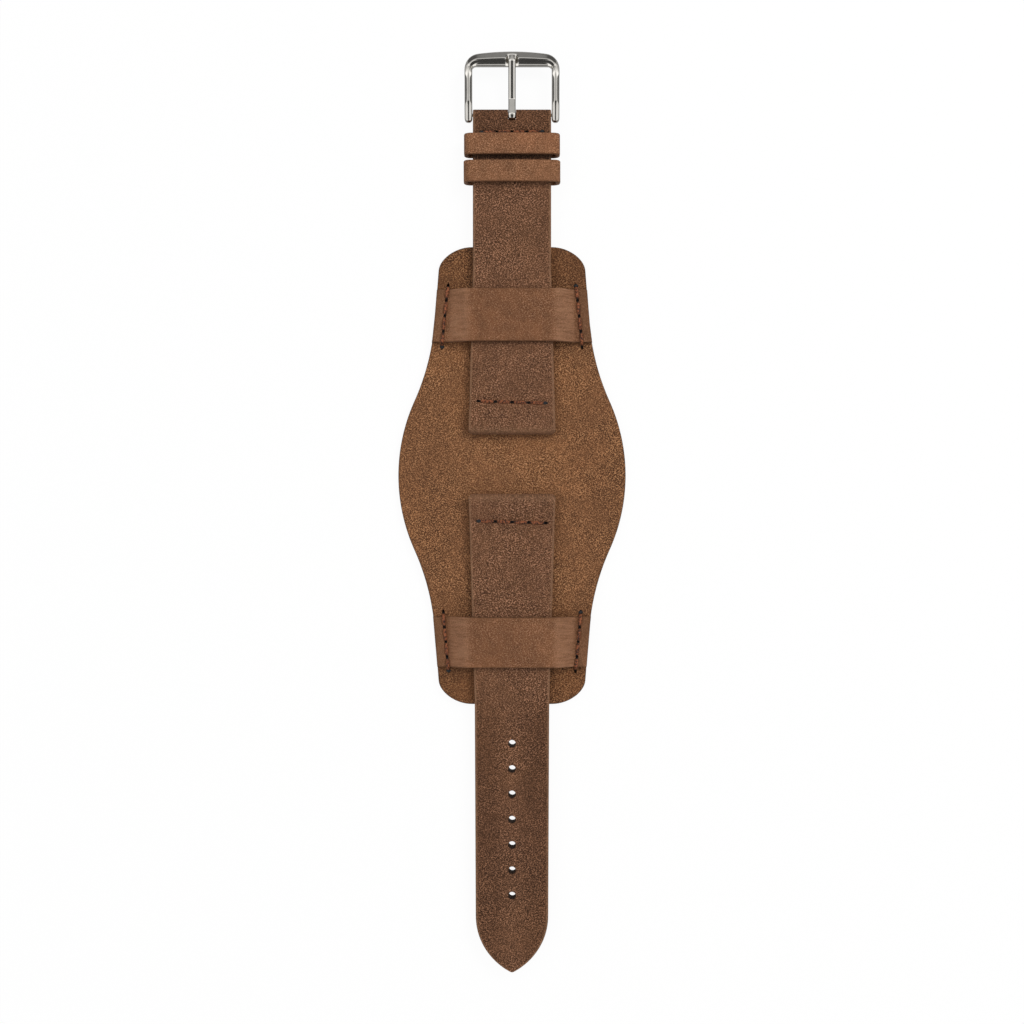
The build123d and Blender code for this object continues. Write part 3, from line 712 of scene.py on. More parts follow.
def make_keeper_loop(name, node, seed):
    """A closed loop of leather with a crowned top and rounded corners."""
    low, high = box_mm(node)
    half = (high.x - low.x) / 2 - keeper_leather / 2
    bottom, top = low.z + keeper_leather / 2, high.z - keeper_leather / 2
    steps = 10
    crown = []
    for step in range(steps + 1):
        share = -1 + 2 * step / steps
        crown.append((share * half, top - keeper_crown * share * share))
    corners = [(half, bottom), (-half, bottom), *crown]
    radius = keeper_corner - keeper_leather / 2
    crown_radius = 4 * half
    radii = [radius, radius, radius] + [crown_radius] * (steps - 1) + [radius]
    path = rounded_path(corners, radii, 1.0, closed=True)

    def shape(x, y, z, out):
        """Let the loop swell unevenly, as one does that is pushed along by hand."""
        if out > 0:
            swell = keeper_ripple * ripple(x, y, 11 + seed)
            across = abs(x) / (half + keeper_leather / 2)
            x -= swell * (1 if x > 0 else -1) * ease(across, 0.9, 1)
            z -= swell * ease(z, high.z - 1.5, high.z - 0.5)
        return (x, y, z)

    ring = strip_ring(high.y - low.y, keeper_leather, keeper_edge, keeper_under_edge, 5)
    return sweep_strip(name, path, ring, (low.y + high.y) / 2, True, shape)


# Node helpers
def add_node(tree, kind, inputs=None, **settings):
    """Add a node, set its properties, and give inputs a value, a socket or a node's first output."""
    made = tree.nodes.new(kind)
    for name, value in settings.items():
        setattr(made, name, value)
    for key, value in (inputs or {}).items():
        if isinstance(value, bpy.types.Node):
            value = value.outputs[0]
        if isinstance(value, bpy.types.NodeSocket):
            tree.links.new(value, made.inputs[key])
        else:
            made.inputs[key].default_value = value
    return made


def start_tree(name, sockets):
    """A Geometry Nodes tree with named inputs, its input node and its output node."""
    tree = bpy.data.node_groups.new(name, "GeometryNodeTree")
    tree.is_modifier = True
    tree.interface.new_socket("Geometry", in_out="INPUT", socket_type="NodeSocketGeometry")
    tree.interface.new_socket("Geometry", in_out="OUTPUT", socket_type="NodeSocketGeometry")
    for label, kind in sockets:
        tree.interface.new_socket(label, in_out="INPUT", socket_type="NodeSocket" + kind)
    return tree, add_node(tree, "NodeGroupInput").outputs, add_node(tree, "NodeGroupOutput")


def run_tree(piece, tree, **values):
    """Run a tree on a piece with its inputs set by identifier, and keep the result as plain mesh."""
    modifier = piece.modifiers.new(tree.name, "NODES")
    modifier.node_group = tree
    for item in tree.interface.items_tree:
        key = item.name.lower().replace(" ", "_")
        if item.item_type == "SOCKET" and item.in_out == "INPUT" and key in values:
            modifier[item.identifier] = values[key]
    keep_result(piece, modifier)


def punch_tree():
    """Cuts a straight row of round or lens-shaped holes."""
    sockets = [("First hole", "Vector"), ("Last hole", "Vector"), ("Count", "Int")]
    sockets += [("Upper radius", "Float"), ("Lower radius", "Float"), ("Depth", "Float")]
    sockets += [("Stretch", "Vector"), ("Tilt", "Rotation"), ("Material", "Material")]
    tree, given, output = start_tree("punched row", sockets)
    inputs = {"Count": given["Count"], "Start Location": given["First hole"], "Offset": given["Last hole"]}
    line = add_node(tree, "GeometryNodeMeshLine", inputs, mode="END_POINTS")
    inputs = {"Vertices": 20, "Depth": given["Depth"]}
    inputs |= {"Radius Top": given["Upper radius"], "Radius Bottom": given["Lower radius"]}
    awl = add_node(tree, "GeometryNodeMeshCone", inputs)
    inputs = {0: given["Last hole"], 1: given["First hole"]}
    along = add_node(tree, "ShaderNodeVectorMath", inputs, operation="SUBTRACT")
    turn = add_node(tree, "FunctionNodeAlignRotationToVector", {"Vector": along}, axis="X")
    inputs = {"Rotation": turn, "Rotate By": given["Tilt"]}
    turn = add_node(tree, "FunctionNodeRotateRotation", inputs, rotation_space="GLOBAL")
    inputs = {"Points": line, "Instance": awl, "Rotation": turn, "Scale": given["Stretch"]}
    cutters = add_node(tree, "GeometryNodeInstanceOnPoints", inputs)
    solid = add_node(tree, "GeometryNodeRealizeInstances", {"Geometry": cutters})
    inputs = {"Mesh 1": given["Geometry"], "Mesh 2": solid}
    cut = add_node(tree, "GeometryNodeMeshBoolean", inputs, operation="DIFFERENCE", solver="EXACT")
    real = add_node(tree, "GeometryNodeRealizeInstances", {"Geometry": cut})
    inputs = {"Geometry": real, "Material": given["Material"]}
    finish = add_node(tree, "GeometryNodeSetMaterial", inputs)
    tree.links.new(finish.outputs[0], output.inputs["Geometry"])
    return tree


# A stitch: how many points it has, how far off its axis its three plies lie and how thick they
# are, as shares of the thread's width, and how much it swells and narrows along its length.
stitch_points = 30
ply_off_share = 0.25
ply_radius_share = 0.27
stitch_swell = 1.05
stitch_end_narrowing = 0.5
melted_end_shares = (1.0, 0.8, 0.7)


def stitch_tree():
    """Lays three twisted plies along every spline and a melted end on every point marked knot."""
    sockets = [("Thread width", "Float"), ("Lay length", "Float"), ("Knot width", "Float")]
    tree, given, output = start_tree("twisted stitches", sockets + [("Material", "Material")])
    curve = add_node(tree, "GeometryNodeMeshToCurve", {"Mesh": given["Geometry"]})
    smooth = add_node(tree, "GeometryNodeCurveSplineType", {"Curve": curve}, spline_type="CATMULL_ROM")
    inputs = {"Curve": smooth, "Count": stitch_points}
    even = add_node(tree, "GeometryNodeResampleCurve", inputs, mode="COUNT")
    inputs = {"Geometry": even, "Amount": 3}
    plies = add_node(tree, "GeometryNodeDuplicateElements", inputs, domain="SPLINE")
    factor = add_node(tree, "GeometryNodeSplineParameter").outputs["Factor"]
    length = add_node(tree, "GeometryNodeSplineLength").outputs["Length"]
    # The angle of a ply round the stitch's axis
    turns = add_node(tree, "ShaderNodeMath", {0: length, 1: given["Lay length"]}, operation="DIVIDE")
    turned = add_node(tree, "ShaderNodeMath", {0: turns, 1: factor}, operation="MULTIPLY")
    ply_share = add_node(
        tree, "ShaderNodeMath", {0: plies.outputs["Duplicate Index"], 1: 3.0}, operation="DIVIDE"
    )
    turned = add_node(tree, "ShaderNodeMath", {0: turned, 1: ply_share}, operation="ADD")
    angle = add_node(tree, "ShaderNodeMath", {0: turned, 1: 2 * pi}, operation="MULTIPLY")
    # 1 at both ends of a stitch and 0 over most of its length
    middle = add_node(tree, "ShaderNodeMath", {0: factor, 1: 2.0, 2: -1.0}, operation="MULTIPLY_ADD")
    end = add_node(tree, "ShaderNodeMath", {0: middle}, operation="ABSOLUTE")
    end = add_node(tree, "ShaderNodeMath", {0: end, 1: 3.0}, operation="POWER")
    inputs = {0: end, 1: -stitch_end_narrowing, 2: stitch_swell}
    swell = add_node(tree, "ShaderNodeMath", inputs, operation="MULTIPLY_ADD")
    radii = []
    for share in (ply_off_share, ply_radius_share):
        radius = add_node(tree, "ShaderNodeMath", {0: given["Thread width"], 1: share}, operation="MULTIPLY")
        radii.append(add_node(tree, "ShaderNodeMath", {0: radius, 1: swell}, operation="MULTIPLY"))
    off_axis, ply_radius = radii
    # Each ply is moved off the axis, to the side and upwards.
    tangent = add_node(tree, "GeometryNodeInputTangent")
    inputs = {0: tangent, 1: (0, 0, 1)}
    side = add_node(tree, "ShaderNodeVectorMath", inputs, operation="CROSS_PRODUCT")
    side = add_node(tree, "ShaderNodeVectorMath", {0: side}, operation="NORMALIZE")
    over = add_node(tree, "ShaderNodeVectorMath", {0: side, 1: tangent}, operation="CROSS_PRODUCT")
    moves = []
    for direction, wave in ((side, "COSINE"), (over, "SINE")):
        amount = add_node(tree, "ShaderNodeMath", {0: angle}, operation=wave)
        amount = add_node(tree, "ShaderNodeMath", {0: amount, 1: off_axis}, operation="MULTIPLY")
        inputs = {0: direction, "Scale": amount}
        moves.append(add_node(tree, "ShaderNodeVectorMath", inputs, operation="SCALE"))
    move = add_node(tree, "ShaderNodeVectorMath", {0: moves[0], 1: moves[1]}, operation="ADD")
    laid = add_node(tree, "GeometryNodeSetPosition", {"Geometry": plies, "Offset": move})
    # How near each point is to a stitch's ends, where it dives into a hole; the thread's material paints
    # shade there.
    inputs = {"Geometry": laid, "Name": "dive", "Value": end}
    dive = add_node(tree, "GeometryNodeStoreNamedAttribute", inputs, data_type="FLOAT", domain="POINT")
    ply = add_node(tree, "GeometryNodeCurvePrimitiveCircle", {"Resolution": 8, "Radius": 1.0})
    inputs = {"Curve": dive, "Profile Curve": ply, "Scale": ply_radius, "Fill Caps": True}
    sweep = add_node(tree, "GeometryNodeCurveToMesh", inputs)
    # The melted ends
    is_knot = add_node(tree, "GeometryNodeInputNamedAttribute", {"Name": "knot"}, data_type="FLOAT")
    chosen = add_node(tree, "ShaderNodeMath", {0: is_knot, 1: 0.5}, operation="GREATER_THAN")
    ends = add_node(tree, "GeometryNodeMeshToPoints", {"Mesh": given["Geometry"], "Selection": chosen})
    bead = add_node(tree, "GeometryNodeMeshIcoSphere", {"Radius": 0.5, "Subdivisions": 3})
    inputs = {0: melted_end_shares, "Scale": given["Knot width"]}
    bead_size = add_node(tree, "ShaderNodeVectorMath", inputs, operation="SCALE")
    inputs = {"Points": ends, "Instance": bead, "Scale": bead_size}
    beads = add_node(tree, "GeometryNodeInstanceOnPoints", inputs)
    bead_mesh = add_node(tree, "GeometryNodeRealizeInstances", {"Geometry": beads})
    inputs = {"Geometry": bead_mesh, "Name": "burnt", "Value": 1.0}
    burnt = add_node(tree, "GeometryNodeStoreNamedAttribute", inputs, data_type="FLOAT", domain="POINT")
    joined = add_node(tree, "GeometryNodeJoinGeometry")
    for part in (sweep, burnt):
        tree.links.new(part.outputs[0], joined.inputs[0])
    smooth_mesh = add_node(tree, "GeometryNodeSetShadeSmooth", {"Geometry": joined})
    real = add_node(tree, "GeometryNodeRealizeInstances", {"Geometry": smooth_mesh})
    inputs = {"Geometry": real, "Material": given["Material"]}
    finish = add_node(tree, "GeometryNodeSetMaterial", inputs)
    tree.links.new(finish.outputs[0], output.inputs["Geometry"])
    return tree


def stitch_spine(start, end, way, rise, sink):
    """One tight stitch from hole to hole: it lies on the leather and dives at both ends.

    The way is 1 for a stitch on top of its leather and -1 for one under it."""
    shares = (0, 0.05, 0.11, 0.18, 0.28, 0.5, 0.72, 0.82, 0.89, 0.95, 1)
    sinks = (1, 0.95, 0.6, 0.15, 0, 0, 0, 0.15, 0.6, 0.95, 1)
    rises = (0, 0, 0, 0.2, 0.85, 1, 0.85, 0.2, 0, 0, 0)
    gap = end - start
    spine = []
    for share, low, high in zip(shares, sinks, rises):
        height = rise * high - sink * low
        spine.append(start + gap * share + Vector((0, 0, way * height)))
    return spine


def edge_spine(outer, inner, drop, edge_share):
    """The stitch that climbs from a hole in the pad over the bridge's edge to a hole in the bridge."""
    level = Vector((inner.x - outer.x, inner.y - outer.y, 0))
    # Each place is a share of the way in and a height over the pad.
    route = (
        (0, -0.8),
        (0.06, -0.5),
        (0.13, 0.05),
        (0.8 * edge_share, 0.5 * drop),
        (1.15 * edge_share, drop + 0.05),
        (0.45, drop + 0.22),
        (0.72, drop + 0.16),
        (0.82, drop - 0.02),
        (0.89, drop - 0.45),
        (0.95, drop - 0.75),
        (1, drop - 0.8),
    )
    return [outer + level * share + Vector((0, 0, height)) for share, height in route]


def sew(name, spines, knots, body, node):
    """Thread along spines in millimetres, as one plain mesh that stands for a thread node."""
    points, edges = [], []
    for spine in spines:
        start = len(points)
        points += spine
        edges += [(start + step, start + step + 1) for step in range(len(spine) - 1)]
    first_knot = len(points)
    points += knots
    mesh = bpy.data.meshes.new(name)
    mesh.from_pydata([point * MM for point in points], edges, [])
    marks = mesh.attributes.new("knot", "FLOAT", "POINT")
    marks.data.foreach_set("value", [float(index >= first_knot) for index in range(len(points))])
    piece = add_object(name, mesh)
    run_tree(
        piece,
        stitches,
        thread_width=thread * MM,
        lay_length=thread_lay * MM,
        knot_width=knot_width * MM,
        material=waxed_thread,
    )
    dress(piece, waxed_thread, body, node)


def row_holes(row_name, height):
    """The needle holes of a row across a strap, at the height of the leather there."""
    row_y, half_length, tilt = strap_rows[row_name]
    shares = [-1 + 2 * step / stitch_count for step in range(stitch_count + 1)]
    return [Vector((share * half_length, row_y + tilt * share, height)) for share in shares]


# Buckle frame: a closed section that turns from a rounded leg into a crested crossbar
frame_half_outer = frame_high.x
frame_leg = 1.95
frame_half_inner = frame_half_outer - frame_leg
frame_reach = frame_high.y - bar_y
frame_end = bar_y - frame_low.y
frame_leg_angle = 20.5
frame_leg_round = 1.0
frame_bend_distance = 2.4
frame_flat_length = 7.5
frame_flat_rise = 0.4
frame_crossbar = 3.9
frame_corner = 4.0
frame_window_corner = 0.9
frame_arch = 1.2
frame_crest_height = 1.95
frame_crest_back = 2.1
frame_crest_lift = 1.15
frame_notch_depth = 0.7
frame_notch_half = 1.1
socket_width = 0.86
socket_depth = 1.0
# Where the frame has sections: round a leg's end, along a leg and across half the crossbar
leg_end_angles = (8, 18, 30, 44, 58, 74, 90)
leg_places = (-0.4, 0.3, 1.1, 1.8, 2.4, 3.0, 3.8, 5.2, 6.8, 8.2, 9.1, 9.7, 10.3)
crossbar_places = (7.2, 5.6, 4.2, 3.2, 2.5, 2.1, 1.85, 1.65, 1.5, 1.35, 1.2, 1.05, 0.9, 0.7, 0.4, 0)
# Sections of the frame: each pair is the share of the way from the inner to the outer side, and a
# height. A leg is flat on top between sloping flanks, is crowned near both of its ends, and
# turns into a crossbar with a crest over a narrow ledge.
flat_section = (
    (0.14, -0.98), (0.04, -0.88), (0.0, -0.5), (0.0, 0.0), (0.01, 0.36), (0.04, 0.53),
    (0.1, 0.66), (0.2, 0.8), (0.305, 0.955), (0.325, 0.985), (0.35, 1.0), (0.5, 1.0),
    (0.65, 1.0), (0.675, 0.985), (0.695, 0.955), (0.8, 0.8), (0.9, 0.66), (0.96, 0.53),
    (0.99, 0.36), (1.0, 0.1), (1.0, -0.3), (1.0, -0.6), (0.93, -0.92), (0.5, -1.0),
)
crowned_section = (
    (0.14, -0.98), (0.04, -0.88), (0.0, -0.5), (0.0, 0.0), (0.0, 0.4), (0.01, 0.6),
    (0.035, 0.74), (0.09, 0.83), (0.18, 0.895), (0.27, 0.945), (0.38, 0.985), (0.5, 1.0),
    (0.62, 0.985), (0.73, 0.945), (0.82, 0.895), (0.91, 0.83), (0.965, 0.74), (0.99, 0.6),
    (1.0, 0.4), (1.0, 0.1), (1.0, -0.3), (1.0, -0.6), (0.93, -0.92), (0.5, -1.0),
)
crossbar_section = (
    (0.1, -0.3), (0.03, -0.24), (0.0, -0.05), (0.0, 0.4), (0.005, 0.82), (0.02, 0.95),
    (0.045, 0.99), (0.08, 1.0), (0.135, 0.99), (0.165, 1.0), (0.2, 1.06), (0.29, 1.38),
    (0.385, 1.74), (0.425, 1.88), (0.47, 1.95), (0.525, 1.9), (0.6, 1.69), (0.75, 1.29),
    (0.9, 0.89), (0.97, 0.68), (1.0, 0.46), (1.0, 0.0), (0.96, -0.26), (0.5, -0.3),
)


def leg_height(y):
    """Height of a leg's middle line over the bar, at a distance y past the bar."""
    slope = tan(radians(frame_leg_angle))
    bend = frame_bend_distance * slope
    flat_end = frame_bend_distance + frame_flat_length
    if y < frame_bend_distance:
        return y * slope
    if y < flat_end:
        return bend + frame_flat_rise * (y - frame_bend_distance) / frame_flat_length
    fall = bend + frame_flat_rise - (frame_crest_height - frame_crest_lift)
    return bend + frame_flat_rise - fall * (y - flat_end) / (frame_reach - frame_crest_back - flat_end)


def soft_leg_height(y):
    """The leg's height with its two bends softened."""
    gaps = (-0.6, -0.3, 0, 0.3, 0.6)
    return sum(leg_height(y + gap) for gap in gaps) / len(gaps)


def frame_stations():
    """Half the frame: outer place, inner place and how far the leg has become crossbar."""
    arch_radius = (frame_half_outer**2 + frame_arch**2) / (2 * frame_arch)
    arch_centre = frame_reach - arch_radius
    corner_x = frame_half_outer - frame_corner
    corner_y = arch_centre + sqrt((arch_radius - frame_corner) ** 2 - corner_x**2)
    turn = atan2(corner_y - arch_centre, corner_x)
    inner_y = frame_reach - frame_crossbar
    window_y = inner_y - frame_window_corner
    window_x = frame_half_inner - frame_window_corner
    legs = [frame_leg_round * (1 - cos(radians(angle))) - frame_end for angle in leg_end_angles]
    stations = [((frame_half_outer, y), (frame_half_inner, y), 0) for y in (*legs, *leg_places)]
    steps = 9
    for step in range(steps + 1):
        share = step / steps
        outer = (corner_x + frame_corner * cos(turn * share), corner_y + frame_corner * sin(turn * share))
        angle = pi / 2 * share
        inner = (window_x + frame_window_corner * cos(angle), window_y + frame_window_corner * sin(angle))
        stations.append((outer, inner, ease(share, 0, 0.5)))
    last_x = stations[-1][0][0]
    for x in crossbar_places:
        outer = (x, arch_centre + sqrt(arch_radius**2 - x * x))
        stations.append((outer, (x * window_x / last_x, inner_y), 1))
    return stations


def make_frame():
    """The buckle's frame as one smooth closed body."""
    half = frame_stations()
    path = half + [((-o[0], o[1]), (-i[0], i[1]), w) for o, i, w in reversed(half[:-1])]
    points = []
    for outer, inner, weight in path:
        outer, inner = Vector(outer), Vector(inner)
        # A leg's end is rounded off, and a leg is flat on top between its bends.
        past = max(0, frame_leg_round - frame_end - outer.y)
        shrink = sqrt(max(0.02, 1 - (past / frame_leg_round) ** 2))
        middle = soft_leg_height(min((outer.y + inner.y) / 2, frame_reach - frame_crest_back))
        if past:
            middle = soft_leg_height(frame_leg_round - frame_end)
        flat_from, flat_to = frame_bend_distance, frame_bend_distance + frame_flat_length
        flat = ease(outer.y, flat_from - 0.1, flat_from + 0.8) * (1 - ease(outer.y, flat_to - 1, flat_to))
        # The notch in the crest: how deep it is here and how far back it reaches
        edge = ease(abs(outer.x), frame_notch_half - 0.2, frame_notch_half + 0.5)
        dip = (frame_notch_depth + 0.15) * (1 - edge)
        back = sqrt(max(0, 1 - (outer.x / (frame_notch_half + 0.5)) ** 2))
        width_share = (outer - inner).length / frame_crossbar if weight else 1
        for on_flat, on_crown, on_bar in zip(flat_section, crowned_section, crossbar_section):
            leg_share = on_crown[0] + (on_flat[0] - on_crown[0]) * flat
            leg_rise = on_crown[1] + (on_flat[1] - on_crown[1]) * flat
            share = leg_share + (on_bar[0] - leg_share) * weight
            share = 0.5 + (share - 0.5) * (0.06 + 0.94 * shrink)
            bar_rise = on_bar[1]
            if bar_rise > 0.3:
                bar_rise = frame_crest_height - (frame_crest_height - bar_rise) * min(width_share, 1)
            pocket = ease(bar_rise, 0.7, frame_crest_height) * ease(weight, 0.9, 1)
            pocket *= 1 - ease(share, 0.46 + 0.14 * back, 0.56 + 0.25 * back)
            bar_rise -= dip * pocket
            height = (middle + leg_rise * shrink) * (1 - weight) + bar_rise * weight
            place = inner + (outer - inner) * share
            points.append((place.x, bar_y + place.y, bar_z + height))
    count = len(flat_section)
    faces = ring_faces(len(path), count) + end_faces(len(path), count)
    piece = make_piece("polished_buckle_frame", points, faces, 180)
    refine(piece, 2)
    for side in (-1, 1):
        place = Vector((side * frame_half_inner, bar_y, bar_z))
        cut_round(piece, place, (-side, 0, 0), socket_width, socket_depth)
    return piece


def refine(piece, levels):
    """Subdivide a smooth piece and keep the result as plain mesh."""
    modifier = piece.modifiers.new("refine", "SUBSURF")
    modifier.levels = modifier.render_levels = levels
    keep_result(piece, modifier)


def subtract(piece, cutter):
    """Take a cutter away from a piece and remove the cutter."""
    modifier = piece.modifiers.new("cut", "BOOLEAN")
    modifier.operation = "DIFFERENCE"
    modifier.solver = "EXACT"
    modifier.object = cutter
    keep_result(piece, modifier)
    bpy.data.objects.remove(cutter)


def cut_round(piece, place, outward, width, depth):
    """Bore a blind hole of a width and depth at a place, whose surface faces outward."""
    radius = width / 2 * MM
    shape = bmesh.new()
    bmesh.ops.create_cone(
        shape, cap_ends=True, segments=32, radius1=radius, radius2=radius, depth=2 * depth * MM
    )
    mesh = bpy.data.meshes.new("bore")
    shape.to_mesh(mesh)
    shape.free()
    cutter = add_object("bore", mesh)
    cutter.rotation_mode = "QUATERNION"
    cutter.rotation_quaternion = Vector(outward).to_track_quat("Z", "Y")
    cutter.location = place * MM
    subtract(piece, cutter)


def cut_box(piece, low, high, rounding):
    """Cut a box given by its corners, with rounded upright edges, out of a piece."""
    middle, size = (high + low) / 2, high - low
    shape = bmesh.new()
    bmesh.ops.create_cube(shape, size=1)
    for vertex in shape.verts:
        vertex.co = Vector([middle[axis] + vertex.co[axis] * size[axis] for axis in range(3)]) * MM
    edges = [edge for edge in shape.edges if abs(edge.verts[0].co.z - edge.verts[1].co.z) > 0.5 * MM]
    bmesh.ops.bevel(shape, geom=edges, offset=rounding * MM, segments=4, profile=0.5, affect="EDGES")
    mesh = bpy.data.meshes.new("slot")
    shape.to_mesh(mesh)
    shape.free()
    subtract(piece, add_object("slot", mesh))


# Tongue: a strip with a pointed tip that rises to its curl and wraps the bar
tongue_width = 1.9
tongue_thickness = 0.95
tongue_curl_wall = 0.7
tongue_curl_radius = 1.1
tongue_reach = 14.9
tongue_bend = 4.0
tongue_sag = 0.3
tongue_seat = 13.5
tongue_seat_rise = 1.505
tongue_tip_drop = 0.45
tongue_point = 1.3
tongue_tip_share = 0.3
tongue_tip_wall_share = 0.72
tongue_curl_turn = 246
# The power of the section's curve: 2 would be round, and a higher one is squarer.
tongue_squareness = 2.7


def make_tongue():
    """The tongue: tip, arm, the rise to the curl and the curl round the bar."""
    touch = acos(tongue_curl_radius / hypot(tongue_bend, tongue_sag)) - atan2(tongue_sag, tongue_bend)
    tangent = (tongue_curl_radius * cos(touch), tongue_curl_radius * sin(touch))
    seat = Vector((tongue_seat, tongue_seat_rise))
    tip = Vector((tongue_reach, tongue_seat_rise - tongue_tip_drop))
    arm = rounded_path([tip, seat, (tongue_bend, -tongue_sag), tangent], [0, 1.2, 2.4, 0], 0.9)
    ahead = (seat - tip).normalized()
    near_tip = [tip + ahead * gap for gap in (0, 0.06, 0.2, 0.45, 0.7, 0.95)]
    arm = near_tip + [point for point in arm if point.x < near_tip[-1].x - 0.15]
    curl_start = touch * 180 / pi
    curl = arc((0, 0), tongue_curl_radius, curl_start, curl_start + tongue_curl_turn, 12)
    path = arm[:-1] + [Vector(point) for point in curl]
    steps = 16
    points = []
    for here, normal in zip(path, loop_normals(path, closed=False)):
        from_tip = max(tongue_reach - here.x, 0)
        width = tongue_width
        on_arm = here.y > 0 and here.x > 1.5
        arm_share = ease(here.x, 0.3, tongue_bend - 0.6) if here.y > -0.2 else 0
        wall = tongue_curl_wall + (tongue_thickness - tongue_curl_wall) * arm_share
        if on_arm and from_tip < tongue_point:
            share = from_tip / tongue_point
            width *= tongue_tip_share + (1 - tongue_tip_share) * share**0.8
            wall *= tongue_tip_wall_share + (1 - tongue_tip_wall_share) * share
        flat = 2 / tongue_squareness
        for step in range(steps):
            angle = 2 * pi * step / steps
            across = abs(cos(angle)) ** flat * (1 if cos(angle) > 0 else -1)
            over = abs(sin(angle)) ** flat * (1 if sin(angle) > 0 else -1)
            place = Vector(here) - normal * over * wall / 2
            points.append((across * width / 2, bar_y + place.x, bar_z + place.y))
    faces = ring_faces(len(path), steps) + end_faces(len(path), steps)
    piece = make_piece("polished_buckle_tongue", points, faces, 180)
    refine(piece, 2)
    return piece


# Materials
def colour(code):
    """A colour from its sRGB hex code, as the linear values that a shader takes."""
    parts = [int(code[index : index + 2], 16) / 255 for index in (0, 2, 4)]
    return (*[part / 12.92 if part <= 0.04045 else ((part + 0.055) / 1.055) ** 2.4 for part in parts], 1)


def start_material(name):
    """A material with a shader, its tree and places on the piece in millimetres."""
    material = bpy.data.materials.new(name)
    material.use_nodes = True
    tree = material.node_tree
    shader = tree.nodes["Principled BSDF"]
    places = add_node(tree, "ShaderNodeTexCoord").outputs["Object"]
    scaled = add_node(tree, "ShaderNodeVectorMath", {0: places, "Scale": 1 / MM}, operation="SCALE")
    return material, tree, shader, scaled


# The grain's pores drift by this much over this distance, in rows that run at an angle to the
# piece, and are a little wider one way than the other.
grain_drift = 1.6
grain_drift_size = 3.0
grain_angle = 38
grain_stretch = (1.1, 0.9)
grain_relief = 0.11
# Real pores are half as wide. These are as coarse as they need to be to show.
pad_grain, strap_grain, strip_grain, keeper_grain, lining_grain = 0.31, 0.3, 0.27, 0.28, 0.4
# A painted shade, near black, for the insides of holes, and the tint that darkens the ends
painted_hole_shade = "0D0806"
deep_tint = "D4CFC8"


